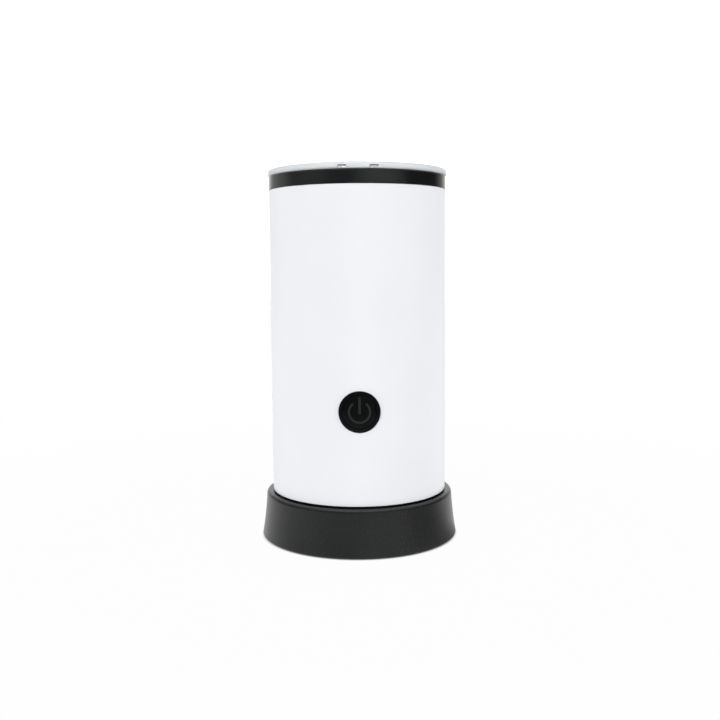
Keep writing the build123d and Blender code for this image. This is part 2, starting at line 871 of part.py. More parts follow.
# Motor: drawn can, bush, end cap with terminals and two field magnets
with BuildPart() as motor_can:
    boss_top_z = motor_top_z + motor_boss_height
    can_roof_z = motor_top_z - can_wall
    turned(
        [
            (can_inner, motor_bottom_z),
            (motor_radius, motor_bottom_z),
            (motor_radius, motor_top_z, motor_round),
            (motor_boss_radius, motor_top_z),
            (motor_boss_radius, boss_top_z),
            (bush_radius + press_gap, boss_top_z),
            (bush_radius + press_gap, can_roof_z),
            (can_inner, can_roof_z),
        ]
    )
    discs(motor_screw_places, motor_screw_radius + fit_gap, can_roof_z, motor_top_z, Mode.SUBTRACT)
save(motor_can, "motor_can")

with BuildPart() as motor_bush:
    turned(
        [
            (shaft_radius + run_gap, can_roof_z),
            (bush_radius, can_roof_z),
            (bush_radius, boss_top_z),
            (shaft_radius + run_gap, boss_top_z),
        ]
    )
save(motor_bush, "motor_bush")

with BuildPart() as motor_end_cap:
    end_bore_z = motor_bottom_z - end_boss_height + end_bore_floor
    turned(
        [
            (0, motor_bottom_z - end_boss_height),
            (end_boss_radius, motor_bottom_z - end_boss_height),
            (end_boss_radius, motor_bottom_z),
            (can_inner - fit_gap, motor_bottom_z),
            (can_inner - fit_gap, motor_bottom_z + end_cap_thickness),
            (shaft_radius + run_gap, motor_bottom_z + end_cap_thickness),
            (shaft_radius + run_gap, end_bore_z),
            (0, end_bore_z),
        ]
    )
save(motor_end_cap, "motor_end_cap")

with BuildPart() as motor_terminals:
    with BuildSketch(Plane.XY.offset(motor_tab_z)):
        with Locations(*motor_tab_places):
            Rectangle(motor_tab_width, motor_tab_thickness)
    extrude(amount=motor_tab_length)
save(motor_terminals, "motor_terminals")

armature_low_z = motor_bottom_z + end_cap_thickness + armature_inset
armature_high_z = can_roof_z - armature_inset
with BuildPart() as motor_magnets:
    turned(
        [
            (armature_radius + air_gap, armature_low_z),
            (can_inner - fit_gap, armature_low_z),
            (can_inner - fit_gap, armature_high_z),
            (armature_radius + air_gap, armature_high_z),
        ]
    )
    with Locations((0, 0, (armature_low_z + armature_high_z) / 2)):
        Box(2 * motor_radius, magnet_split, motor_length, mode=Mode.SUBTRACT)
save(motor_magnets, "motor_magnets")

with BuildPart() as motor_screws:
    pan_screws(motor_screw_places, deck_top_z, -1, motor_screw_radius, chassis_deck + motor_screw_reach)
save(motor_screws, "motor_screws")

# Rotor: shaft, armature with commutator, and the disc of magnets that pulls the whisk round
with BuildPart() as motor_shaft:
    discs([(0, 0)], shaft_radius, end_bore_z + rest_gap, drive_top_z - drive_roof - rest_gap)
save(motor_shaft, "motor_shaft")

with BuildPart() as armature:
    armature_bore = shaft_radius + press_gap
    commutator_z = motor_bottom_z + end_cap_thickness + rest_gap
    turned(
        [
            (armature_bore, commutator_z),
            (commutator_radius, commutator_z),
            (commutator_radius, armature_low_z),
            (armature_radius, armature_low_z),
            (armature_radius, armature_high_z),
            (armature_bore, armature_high_z),
        ]
    )
    with BuildSketch(Plane.XY.offset(armature_low_z)):
        with PolarLocations(armature_slot_floor, armature_slot_count):
            Rectangle(armature_radius, armature_slot, align=(Align.MIN, Align.CENTER))
    extrude(amount=armature_high_z - armature_low_z, mode=Mode.SUBTRACT)
save(armature, "armature")

with BuildPart() as drive_disc:
    turned(
        [
            (0, drive_top_z - drive_roof),
            (shaft_radius + press_gap, drive_top_z - drive_roof),
            (shaft_radius + press_gap, drive_hub_z),
            (drive_hub_radius, drive_hub_z),
            (drive_hub_radius, drive_under_z),
            (drive_radius, drive_under_z, drive_round),
            (drive_radius, drive_top_z, drive_round),
            (0, drive_top_z),
        ]
    )
    discs(magnet_places, magnet_radius + run_gap, drive_top_z - magnet_height, drive_top_z, Mode.SUBTRACT)
save(drive_disc, "drive_disc")

with BuildPart() as drive_magnets:
    discs(magnet_places, magnet_radius, drive_top_z - magnet_height, drive_top_z)
save(drive_magnets, "drive_magnets")

# Power board, upright behind the motor, with its large parts
with BuildPart() as main_board:
    with BuildSketch(Plane.XY.offset(board_bottom_z)):
        with Locations((0, board_front_y)):
            Rectangle(board_width, board_thickness, align=(Align.CENTER, Align.MIN))
    extrude(amount=board_height)
save(main_board, "main_board")

with BuildPart() as power_relay:
    with BuildSketch(Plane.XY.offset(board_bottom_z + relay_rise)):
        with Locations((relay_x, board_back_y)):
            Rectangle(relay_width, relay_depth, align=(Align.CENTER, Align.MIN))
    extrude(amount=relay_height)
    fillet(power_relay.edges().group_by(Axis.Y)[-1], relay_round)
save(power_relay, "power_relay")

with BuildPart() as capacitor:
    capacitor_plane = Plane(
        origin=(capacitor_x, board_back_y, board_bottom_z + capacitor_rise),
        x_dir=(1, 0, 0),
        z_dir=(0, 1, 0),
    )
    with BuildSketch(capacitor_plane):
        Circle(capacitor_radius)
    extrude(amount=capacitor_length)
    fillet(capacitor.edges().group_by(Axis.Y)[-1], capacitor_round)
save(capacitor, "capacitor")

with BuildPart() as lead_header:
    with BuildSketch(Plane.XY.offset(header_top_z)):
        with Locations((header_x, board_back_y)):
            Rectangle(header_width, header_depth, align=(Align.CENTER, Align.MIN))
    extrude(amount=-header_height)
save(lead_header, "lead_header")

# Leads: from the plug to the board, from the board to the heater, the motor, the button and the sensor
with BuildPart() as supply_leads:
    supply_z = board_bottom_z + supply_lead_rise
    tail_places = [(0, 0)] + [polar(ring, angle) for ring, angle in plug_tails]
    for x, y in tail_places:
        run = [(x, y, tail_top_z), (x, y, supply_z), (x, board_front_y, supply_z)]
        lead(run, supply_lead_radius, lead_bend)
save(supply_leads, "supply_leads")

with BuildPart() as heater_leads:
    live_pin, return_pin = heater_pin_places
    live_tab, return_tab = thermostat_tab_places
    tab_z = thermostat_z - thermostat_tab_length
    jumper_z = heater_pin_z - heater_jumper_drop
    discs([live_pin], heater_lead_radius, header_top_z, heater_pin_z)
    discs([live_tab], heater_lead_radius, header_top_z, tab_z)
    jumper = [
        (*return_tab, tab_z),
        (*return_tab, jumper_z),
        (*return_pin, jumper_z),
        (*return_pin, heater_pin_z),
    ]
    lead(jumper, heater_lead_radius, lead_bend)
save(heater_leads, "heater_leads")

with BuildPart() as motor_leads:
    motor_lead_z = motor_tab_z - motor_lead_drop
    for x, y in motor_tab_places:
        run = [(x, y, motor_tab_z), (x, y, motor_lead_z), (x, board_front_y, motor_lead_z)]
        lead(run, motor_lead_radius, small_bend)
save(motor_leads, "motor_leads")

with BuildPart() as button_lead:
    button_lead_z = board_bottom_z + button_lead_rise
    lane_x = motor_radius + button_lead_gap
    lead(
        [
            (0, -button_board_back, button_lead_z),
            (0, -button_board_back + button_lead_out, button_lead_z),
            (lane_x, -motor_radius, button_lead_z),
            (lane_x, board_front_y, button_lead_z),
        ],
        button_lead_radius,
        lead_bend,
    )
save(button_lead, "button_lead")

with BuildPart() as sensor_lead:
    sensor_lead_z = board_bottom_z + sensor_lead_rise
    lead(
        [
            (sensor_circle, 0, cup_under_z - sensor_height),
            (sensor_circle, 0, sensor_lead_z),
            (sensor_circle, board_front_y, sensor_lead_z),
        ],
        sensor_lead_radius,
        lead_bend,
    )
save(sensor_lead, "sensor_lead")

# Button bezel: a ring whose face follows the shell, with a neck through the shell's hole
with BuildPart() as button_bezel:
    barrel(bezel_radius, 0, 2 * body_radius)
    round_front(body_radius + bezel_proud)
    with Locations((0, 0, button_z)):
        Cylinder(body_radius, button_span, mode=Mode.SUBTRACT)
    fillet(button_bezel.edges().sort_by(Axis.Y)[0], bezel_round)
    barrel(neck_radius, neck_end, body_radius)
    round_front(body_radius + bezel_proud)
    barrel(cap_radius + slide_gap, neck_end, 2 * body_radius, Mode.SUBTRACT)
    barrel(cap_radius + cap_flange + slide_gap, neck_end, cap_shoulder, Mode.SUBTRACT)
save(button_bezel, "button_bezel")

# Button cap: face follows the shell, hollow behind, a flange that stops it and a stem to the switch
symbol_arc = CenterArc((0, 0), symbol_radius, 90 + symbol_gap_angle, 360 - 2 * symbol_gap_angle)
with BuildPart() as button_cap:
    barrel(cap_radius, cap_back, 2 * body_radius)
    round_front(body_radius + cap_proud)
    fillet(button_cap.edges().sort_by(Axis.Y)[0], cap_round)
    barrel(cap_radius + cap_flange, cap_back, cap_shoulder)
    barrel(cap_radius - cap_wall, cap_back, body_radius - cap_wall, Mode.SUBTRACT)
    barrel(stem_radius, plunger_front, body_radius - cap_wall)
    with BuildSketch(button_plane.offset(body_radius + cap_proud - symbol_depth)) as symbol_pocket:
        SlotArc(symbol_arc, symbol_stroke)
        with Locations((0, (symbol_bar_top + symbol_bar_bottom) / 2)):
            SlotOverall(symbol_bar_top - symbol_bar_bottom, symbol_bar_width, rotation=90)
    extrude(amount=body_radius, mode=Mode.SUBTRACT)
save(button_cap, "button_cap")

# Power symbol: an inlay that fills the pocket in the cap
with BuildPart() as power_symbol:
    extrude(symbol_pocket.sketch, amount=body_radius)
    round_front(body_radius + cap_proud)
save(power_symbol, "power_symbol")

# Button housing: pushed over the bezel's neck behind the shell, carries the small board
with BuildPart() as button_housing:
    stake_places = [(side * stake_spacing / 2, 0) for side in (-1, 1)]
    barrel(housing_radius, housing_back, 2 * body_radius)
    round_front(shell_inner - fit_gap)
    barrel(neck_radius + fit_gap, housing_wall_front, 2 * body_radius, Mode.SUBTRACT)
    with BuildSketch(button_plane.offset(housing_back)):
        Rectangle(switch_size + 2 * slide_gap, switch_size + 2 * slide_gap)
        with Locations((0, led_rise)):
            Circle(led_radius + slide_gap)
    extrude(amount=housing_wall, mode=Mode.SUBTRACT)
    with BuildSketch(button_plane.offset(housing_back)):
        with Locations(*stake_places):
            Circle(stake_radius)
    extrude(amount=-stake_length)
save(button_housing, "button_housing")

with BuildPart() as button_board:
    with BuildSketch(button_plane.offset(housing_back)):
        Rectangle(button_board_size, button_board_size)
        with Locations(*stake_places):
            Circle(stake_radius + fit_gap, mode=Mode.SUBTRACT)
    extrude(amount=-board_thickness)
save(button_board, "button_board")

with BuildPart() as tact_switch:
    with BuildSketch(button_plane.offset(housing_back)):
        Rectangle(switch_size, switch_size)
    extrude(amount=switch_depth)
    plunger_floor = switch_front - plunger_bite - plunger_room
    barrel(plunger_radius + slide_gap, plunger_floor, switch_front, Mode.SUBTRACT)
save(tact_switch, "tact_switch")

with BuildPart() as switch_plunger:
    barrel(plunger_radius, switch_front - plunger_bite, plunger_front)
save(switch_plunger, "switch_plunger")

with BuildPart() as status_led:
    with BuildSketch(button_plane.offset(housing_back)):
        with Locations((0, led_rise)):
            Circle(led_radius)
    extrude(amount=led_length)
    fillet(status_led.edges().group_by(Axis.Y)[0], led_radius / 2)
save(status_led, "status_led")

# Whisk: a hub on the pin with magnets below, a wire frame and a coil of wire threaded on it
with BuildPart() as whisk_hub:
    hub_disc_z = hub_bottom_z + hub_disc_height
    knob_z = hub_top_z - hub_knob_height
    turned(
        [
            (whisk_pin_radius + run_gap, hub_bottom_z),
            (hub_disc_radius, hub_bottom_z, hub_disc_round),
            (hub_disc_radius, hub_disc_z, hub_disc_round),
            (hub_neck_radius, hub_disc_z, hub_disc_round),
            (hub_neck_radius, knob_z),
            (hub_knob_radius, knob_z, hub_knob_round),
            (hub_knob_radius, hub_top_z, hub_knob_round),
            (0, hub_top_z),
            (0, hub_bore_z),
            (whisk_pin_radius + run_gap, hub_bore_z),
        ]
    )
    discs(magnet_places, magnet_radius + run_gap, hub_bottom_z, hub_bottom_z + magnet_height, Mode.SUBTRACT)
    spoke_start = hub_disc_radius - spoke_bite
    with Locations((0, 0, whisk_ring_z)):
        with PolarLocations((spoke_start + whisk_ring_radius) / 2, spoke_count):
            Cylinder(
                spoke_radius + run_gap,
                whisk_ring_radius - spoke_start,
                rotation=(0, 90, 0),
                mode=Mode.SUBTRACT,
            )
save(whisk_hub, "whisk_hub")

with BuildPart() as whisk_magnets:
    discs(magnet_places, magnet_radius, hub_bottom_z, hub_bottom_z + magnet_height)
save(whisk_magnets, "whisk_magnets")

with BuildPart() as whisk_frame:
    with Locations((0, 0, whisk_ring_z)):
        Torus(whisk_ring_radius, whisk_wire_radius)
        with PolarLocations((spoke_start + whisk_ring_radius) / 2, spoke_count):
            Cylinder(spoke_radius, whisk_ring_radius - spoke_start, rotation=(0, 90, 0))
save(whisk_frame, "whisk_frame")


def coil_point(turn):
    """Place on the coil: it winds round the frame's ring, one curl for each whole turn."""
    around = 2 * math.pi * turn / curls_round
    curl = 2 * math.pi * turn
    reach = whisk_ring_radius + coil_radius * math.cos(curl)
    height = whisk_ring_z + coil_radius * math.sin(curl)
    return Vector(reach * math.cos(around), reach * math.sin(around), height)


def coil_heading(turn):
    """Direction of the wire at a place on the coil."""
    step = 1e-4
    return (coil_point(turn + step) - coil_point(turn - step)).normalized()


def biarc_joint(start, start_heading, end, end_heading):
    """Point where two arcs meet that leave start and reach end in the stated directions."""
    chord = end - start
    headings = start_heading + end_heading
    spread = 2 * (1 - start_heading.dot(end_heading))
    along = chord.dot(headings)
    reach = (math.sqrt(along * along + spread * chord.dot(chord)) - along) / spread
    return (start + end + (start_heading - end_heading) * reach) * 0.5


# The coil is open where a curl is left out, half way between two spokes
coil_start = curls_round * coil_open_angle / 360 + curls_open / 2
coil_half_turns = 2 * (curls_round - curls_open)
coil_turns = [coil_start + i / 2 for i in range(coil_half_turns + 1)]
with BuildPart() as whisk_coil:
    with BuildLine() as coil_path:
        for low_turn, high_turn in zip(coil_turns, coil_turns[1:]):
            low, high = coil_point(low_turn), coil_point(high_turn)
            joint = biarc_joint(low, coil_heading(low_turn), high, coil_heading(high_turn))
            first = TangentArc(low, joint, tangent=coil_heading(low_turn))
            TangentArc(joint, high, tangent=first % 1)
    with BuildSketch(Plane(origin=coil_point(coil_turns[0]), z_dir=coil_path.line % 0)):
        Circle(coil_wire_radius)
    sweep(path=coil_path.line)
save(whisk_coil, "whisk_coil")

# Least gap between neighbouring curls, measured on points more than half a curl apart
samples_per_curl = 48
coil_trace = [coil_point(coil_start + i / samples_per_curl) for i in range(3 * samples_per_curl)]
far = samples_per_curl // 2
least = min((a - b).length for i, a in enumerate(coil_trace) for b in coil_trace[i + far:])
print(f"whisk coil: least gap between curls {least - 2 * coil_wire_radius:.2f} mm")

# Lid: a clear disc with a plug skirt, a groove for the seal and two vents in its front edge
with BuildPart() as lid:
    dish_radius = lid_radius - lid_dish_inset
    groove_radius = skirt_outer - seal_sink
    turned(
        [
            (0, lid_under_z),
            (skirt_inner, lid_under_z),
            (skirt_inner, skirt_tip_z),
            (skirt_outer, skirt_tip_z, skirt_round),
            (skirt_outer, seal_top_z - seal_height),
            (groove_radius, seal_top_z - seal_height),
            (groove_radius, seal_top_z),
            (skirt_outer, seal_top_z),
            (skirt_outer, lid_under_z),
            (lid_radius, lid_under_z, lid_round),
            (lid_radius, lid_top_z, lid_round),
            (dish_radius, lid_top_z),
            (dish_radius - lid_dish, lid_top_z - lid_dish),
            (0, lid_top_z - lid_dish),
        ]
    )
    vent_places = [(-vent_spacing / 2, 0), (vent_spacing / 2, 0)]
    port_y = skirt_inner - vent_port_inset - vent_port
    vent_z = lid_under_z + vent_floor
    with BuildSketch(Plane.XY.offset(vent_z)):
        with Locations(*vent_places):
            with Locations((0, -port_y)):
                Rectangle(vent_width, lid_radius, align=(Align.CENTER, Align.MAX))
    extrude(amount=vent_height, mode=Mode.SUBTRACT)
    with BuildSketch(Plane.XY.offset(lid_under_z)):
        with Locations(*vent_places):
            with Locations((0, -port_y)):
                Rectangle(vent_width, vent_port, align=(Align.CENTER, Align.MAX))
    extrude(amount=vent_floor, mode=Mode.SUBTRACT)
save(lid, "lid")

# Lid seal: a band in the groove with two thin lips towards the cup
with BuildPart() as lid_seal:
    lip_radius = cup_inner - slide_gap
    seal_low_z = seal_top_z - seal_height
    turned(
        [
            (groove_radius + press_gap, seal_low_z),
            (lip_radius, seal_low_z),
            (lip_radius, seal_low_z + seal_lip),
            (skirt_outer, seal_low_z + seal_lip),
            (skirt_outer, seal_top_z - seal_lip),
            (lip_radius, seal_top_z - seal_lip),
            (lip_radius, seal_top_z),
            (groove_radius + press_gap, seal_top_z),
        ]
    )
save(lid_seal, "lid_seal")
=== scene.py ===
import json
import math

import bmesh
import bpy
import numpy as np
from mathutils import Matrix, Vector


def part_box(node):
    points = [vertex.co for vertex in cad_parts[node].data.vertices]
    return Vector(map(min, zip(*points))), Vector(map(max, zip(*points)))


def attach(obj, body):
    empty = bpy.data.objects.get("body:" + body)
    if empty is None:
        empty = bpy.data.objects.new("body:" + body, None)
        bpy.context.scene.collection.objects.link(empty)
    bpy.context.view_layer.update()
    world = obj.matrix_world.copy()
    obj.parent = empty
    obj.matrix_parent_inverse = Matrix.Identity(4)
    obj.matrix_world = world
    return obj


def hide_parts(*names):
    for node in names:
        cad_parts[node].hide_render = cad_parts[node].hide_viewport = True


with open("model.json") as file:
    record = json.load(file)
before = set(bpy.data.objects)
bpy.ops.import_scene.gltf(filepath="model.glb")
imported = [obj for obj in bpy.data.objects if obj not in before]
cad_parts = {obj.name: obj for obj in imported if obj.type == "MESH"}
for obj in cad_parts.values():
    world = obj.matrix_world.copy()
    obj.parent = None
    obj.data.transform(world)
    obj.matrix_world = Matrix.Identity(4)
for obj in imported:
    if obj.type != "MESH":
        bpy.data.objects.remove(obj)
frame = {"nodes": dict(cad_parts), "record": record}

# Milk frother: white jug with a clear lid, magnet-driven whisk and round button, on a black power dock.
# Metres, +Z up, the button faces -Y.

mm = 0.001
fullTurn = 2 * math.pi
nodes = frame["nodes"]
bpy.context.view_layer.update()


# Shader helpers

mixShare, mixFrom, mixTo, mixed = 0, 6, 7, 2  # a colour Mix node's sockets, whose names its other kinds share


def linear(hexColour):
    # sRGB hex to linear light, which is what shader sockets hold
    srgb = np.array([int(hexColour[i:i + 2], 16) for i in (1, 3, 5)]) / 255
    light = np.where(srgb <= 0.04045, srgb / 12.92, ((srgb + 0.055) / 1.055) ** 2.4)
    return (*light.tolist(), 1.0)


def addNode(tree, kind, settings=None, links=()):
    # settings name a socket, by name or number, or else a property; links are (socket, source) pairs
    node = tree.nodes.new("ShaderNode" + kind)
    for key, value in (settings or {}).items():
        if isinstance(key, int) or key in node.inputs:
            node.inputs[key].default_value = value
        else:
            setattr(node, key, value)
    for socket, source in links:
        tree.links.new(source, node.inputs[socket])
    return node


def finish(name, surface, layers):
    # Principled surface with constant sockets, and layers of patterns on Object coordinates.
    # A layer's size is in mm; tint mixes a colour in, rough spans two roughnesses, depth is relief in mm.
    made = bpy.data.materials.new(name)
    made.use_nodes = True
    tree = made.node_tree
    shader = tree.nodes["Principled BSDF"]
    for socket, value in surface.items():
        shader.inputs[socket].default_value = linear(value) if isinstance(value, str) else value
    place = addNode(tree, "TexCoord").outputs["Object"]
    colour, relief = None, None
    for layer in layers:
        stretch = [1 / (layer["size"] * mm * s) for s in layer.get("stretch", (1, 1, 1))]
        spot = addNode(tree, "Mapping", {"Scale": stretch}, [("Vector", place)]).outputs["Vector"]
        settings = {"Scale": 1.0, **layer.get("settings", {})}
        pattern = addNode(tree, layer["pattern"], settings, [("Vector", spot)])
        value = pattern.outputs[layer.get("output", "Fac")]
        low, high = layer.get("span", (0.3, 0.7))  # part of the pattern's range that is spread over 0 to 1
        spread = {"From Min": low, "From Max": high}
        if "tint" in layer:
            tintColour, amount = layer["tint"]
            share = addNode(tree, "MapRange", {**spread, "To Max": amount}, [("Value", value)])
            ends = {mixFrom: linear(surface["Base Color"]), mixTo: linear(tintColour)}
            mix = addNode(tree, "Mix", {"data_type": "RGBA", **ends}, [(mixShare, share.outputs["Result"])])
            if colour:
                tree.links.new(colour, mix.inputs[mixFrom])
            colour = mix.outputs[mixed]
        if "rough" in layer:
            least, most = layer["rough"]
            rough = addNode(tree, "MapRange", {**spread, "To Min": least, "To Max": most}, [("Value", value)])
            tree.links.new(rough.outputs["Result"], shader.inputs["Roughness"])
        if "depth" in layer:
            bump = addNode(tree, "Bump", {"Distance": layer["depth"] * mm}, [("Height", value)])
            if relief:
                tree.links.new(relief, bump.inputs["Normal"])
            relief = bump.outputs["Normal"]
    if colour:
        tree.links.new(colour, shader.inputs["Base Color"])
    if relief:
        tree.links.new(relief, shader.inputs["Normal"])
    return made


# Finishes, by the record's material slots. Grains and draw lines that are finer on the real thing are drawn
# 0.3 to 0.7 mm wide, so that they show.

finishes = {}

# Sheet steel sprayed with white enamel: an even, cool white, with a trace of orange peel in its soft gloss
finishes["white_enamel"] = finish(
    "sprayedEnamel",
    {"Base Color": "#EEEFF3", "Roughness": 0.36, "IOR": 1.5},
    [
        {"pattern": "TexNoise", "size": 38, "tint": ("#EBECF0", 0.7)},
        {"pattern": "TexNoise", "size": 1.3, "rough": (0.33, 0.4), "depth": 0.003},
    ],
)

# ABS moulded in a finely eroded tool: black with a satin grain that spreads its reflections
finishes["black_abs"] = finish(
    "satinAbs",
    {"Base Color": "#131414", "Roughness": 0.3, "IOR": 1.52, "Specular IOR Level": 0.36},
    [
        {"pattern": "TexNoise", "size": 14, "tint": ("#161717", 0.8)},
        {"pattern": "TexNoise", "size": 0.45, "rough": (0.25, 0.35), "depth": 0.005},
    ],
)

# ABS from a smooth tool: black and tighter in its shine, so only its edges catch the studio
finishes["collar_black"] = finish(
    "smoothAbs",
    {"Base Color": "#101112", "Roughness": 0.19, "IOR": 1.52},
    [
        {"pattern": "TexNoise", "size": 11, "tint": ("#131415", 0.8)},
        {"pattern": "TexNoise", "size": 0.5, "rough": (0.16, 0.22), "depth": 0.003},
    ],
)

# ABS from a polished tool: a deeper black that still mirrors the studio softly
finishes["black_gloss"] = finish(
    "polishedAbs",
    {"Base Color": "#060708", "Roughness": 0.14, "IOR": 1.52, "Specular IOR Level": 0.36},
    [
        {"pattern": "TexNoise", "size": 5, "tint": ("#090A0B", 0.8)},
        {"pattern": "TexNoise", "size": 0.6, "rough": (0.11, 0.17), "depth": 0.002},
    ],
)

# Smoked polycarbonate inlay: a dull dark grey, a shade paler than the button
finishes["symbol_grey"] = finish(
    "smokedInlay",
    {"Base Color": "#1B1C1D", "Roughness": 0.5, "IOR": 1.58, "Specular IOR Level": 0.3},
    [{"pattern": "TexNoise", "size": 0.5, "tint": ("#18191A", 0.8), "rough": (0.45, 0.56), "depth": 0.002}],
)

# Clear moulded polycarbonate: colourless, with the faint waviness of its flow
finishes["clear_lid"] = finish(
    "clearPolycarbonate",
    {"Base Color": "#E3E6E8", "Roughness": 0.08, "IOR": 1.58, "Transmission Weight": 1.0},
    [
        {"pattern": "TexNoise", "size": 11, "depth": 0.006},
        {"pattern": "TexNoise", "size": 6, "tint": ("#DDE1E4", 0.7)},
    ],
)

# Moulded silicone rubber: milky, dull and a little see-through at its lips
finishes["clear_silicone"] = finish(
    "milkySilicone",
    {"Base Color": "#CDD0D2", "Roughness": 0.5, "IOR": 1.41, "Subsurface Weight": 0.35,
     "Subsurface Scale": 2.0 * mm},
    [{"pattern": "TexNoise", "size": 2.5, "tint": ("#C3C6C9", 0.8), "rough": (0.44, 0.58), "depth": 0.004}],
)

# Moulded nitrile rubber: flat black with a dusty grain
finishes["black_rubber"] = finish(
    "mouldedRubber",
    {"Base Color": "#191919", "Roughness": 0.72, "IOR": 1.52},
    [
        {"pattern": "TexNoise", "size": 4, "tint": ("#232322", 0.8)},
        {"pattern": "TexNoise", "size": 0.5, "rough": (0.64, 0.8), "depth": 0.012},
    ],
)

# Aluminium with a sprayed non-stick coat: charcoal with pale flecks and a low sheen
finishes["nonstick_cup"] = finish(
    "nonStickCoat",
    {"Base Color": "#2C2C2E", "Roughness": 0.4, "IOR": 1.38},
    [
        {"pattern": "TexNoise", "size": 9, "tint": ("#343436", 0.8)},
        {"pattern": "TexVoronoi", "size": 1.1, "output": "Distance", "span": (0.16, 0.08),
         "tint": ("#6A6A6C", 0.55)},
        {"pattern": "TexNoise", "size": 0.6, "rough": (0.34, 0.46), "depth": 0.008},
    ],
)

# Stainless spring wire, drawn bright: mirror-like with fine lines along the draw
finishes["stainless"] = finish(
    "drawnStainless",
    {"Base Color": "#C9C8C4", "Metallic": 1.0, "Roughness": 0.17},
    [
        {"pattern": "TexNoise", "size": 1.6, "tint": ("#B9B8B4", 0.7)},
        {"pattern": "TexNoise", "size": 0.3, "rough": (0.12, 0.24), "depth": 0.001},
    ],
)

# Zinc-plated screw steel: a cold grey with cloudy plating
finishes["screw_steel"] = finish(
    "platedScrewSteel",
    {"Base Color": "#B4B6B8", "Metallic": 1.0, "Roughness": 0.34},
    [{"pattern": "TexNoise", "size": 0.8, "tint": ("#9A9C9F", 0.7), "rough": (0.26, 0.44), "depth": 0.003}],
)

# Heat-resistant PBT: dense black with a dry moulded skin
finishes["connector_plastic"] = finish(
    "mouldedPbt",
    {"Base Color": "#212223", "Roughness": 0.52, "IOR": 1.54},
    [
        {"pattern": "TexNoise", "size": 7, "tint": ("#292A2B", 0.8)},
        {"pattern": "TexNoise", "size": 0.4, "rough": (0.46, 0.6), "depth": 0.006},
    ],
)

# Pressed brass strip: warm yellow with rolled streaks
finishes["contact_brass"] = finish(
    "pressedBrass",
    {"Base Color": "#C8A55E", "Metallic": 1.0, "Roughness": 0.28},
    [{"pattern": "TexNoise", "size": 1.2, "stretch": (1, 1, 6), "tint": ("#A98746", 0.7),
      "rough": (0.2, 0.38)}],
)

# Glass-filled nylon: charcoal, with fibres that show as short pale flecks
finishes["chassis_plastic"] = finish(
    "glassFilledNylon",
    {"Base Color": "#252627", "Roughness": 0.48, "IOR": 1.53},
    [
        {"pattern": "TexNoise", "size": 0.7, "stretch": (1, 5, 1), "tint": ("#303132", 0.7)},
        {"pattern": "TexNoise", "size": 0.5, "rough": (0.42, 0.56), "depth": 0.006},
    ],
)

# Pressed aluminium plate: pale grey with turned rings
finishes["aluminium_plate"] = finish(
    "pressedAluminium",
    {"Base Color": "#C6C7C9", "Metallic": 1.0, "Roughness": 0.38},
    [{"pattern": "TexWave", "size": 2.5,
      "settings": {"wave_type": "RINGS", "rings_direction": "Z", "Distortion": 0.6},
      "tint": ("#B2B3B5", 0.6), "rough": (0.3, 0.46), "depth": 0.004}],
)

# Steel heater sheath after some heats: grey with brown and straw oxide clouds
finishes["heater_sheath"] = finish(
    "oxidisedSheath",
    {"Base Color": "#8D8982", "Metallic": 1.0, "Roughness": 0.46},
    [{"pattern": "TexNoise", "size": 6, "tint": ("#7A6A55", 0.8), "rough": (0.38, 0.56), "depth": 0.006}],
)

# Zinc-plated motor steel: cool grey with faint drawing lines up the can
finishes["motor_steel"] = finish(
    "drawnMotorSteel",
    {"Base Color": "#B2B5B8", "Metallic": 1.0, "Roughness": 0.32},
    [{"pattern": "TexNoise", "size": 0.9, "stretch": (1, 1, 9), "tint": ("#A0A3A6", 0.7),
      "rough": (0.24, 0.4)}],
)

# Sintered ferrite: dark grey with a gritty grain
finishes["ferrite"] = finish(
    "sinteredFerrite",
    {"Base Color": "#3B3B3D", "Roughness": 0.6},
    [{"pattern": "TexNoise", "size": 0.5, "tint": ("#303032", 0.8), "rough": (0.52, 0.7), "depth": 0.01}],
)

# Nickel-plated magnets: warm mirror grey with plating haze
finishes["magnet_nickel"] = finish(
    "nickelPlate",
    {"Base Color": "#C7C4BB", "Metallic": 1.0, "Roughness": 0.16},
    [{"pattern": "TexNoise", "size": 1.5, "tint": ("#B6B3AA", 0.7), "rough": (0.1, 0.24)}],
)

# Phenolic moulding: brown-black with fine filler flecks
finishes["bakelite"] = finish(
    "phenolicMoulding",
    {"Base Color": "#251E1A", "Roughness": 0.42, "IOR": 1.6},
    [{"pattern": "TexNoise", "size": 0.6, "tint": ("#3A2E26", 0.7), "rough": (0.36, 0.5), "depth": 0.004}],
)

# Turned brass sensor body: yellow with tool rings
finishes["sensor_metal"] = finish(
    "turnedBrass",
    {"Base Color": "#C2A063", "Metallic": 1.0, "Roughness": 0.3},
    [{"pattern": "TexWave", "size": 0.6, "settings": {"bands_direction": "Z"}, "tint": ("#AD8B4F", 0.6),
      "rough": (0.22, 0.36)}],
)

# Glass-epoxy board under green solder mask: copper tracks show as paler lanes
finishes["board_green"] = finish(
    "solderMask",
    {"Base Color": "#1C5433", "Roughness": 0.3, "IOR": 1.55},
    [
        {"pattern": "TexBrick", "size": 6, "settings": {"Mortar Size": 0.12, "Scale": 1.0}, "span": (0, 1),
         "tint": ("#2E7A4A", 0.7), "depth": 0.03},
        {"pattern": "TexNoise", "size": 3, "rough": (0.24, 0.38)},
    ],
)

# Moulded relay case: mid blue, lightly grained
finishes["relay_blue"] = finish(
    "relayCase",
    {"Base Color": "#2A5AA8", "Roughness": 0.36, "IOR": 1.52},
    [{"pattern": "TexNoise", "size": 1.0, "tint": ("#244F96", 0.8), "rough": (0.3, 0.44), "depth": 0.004}],
)

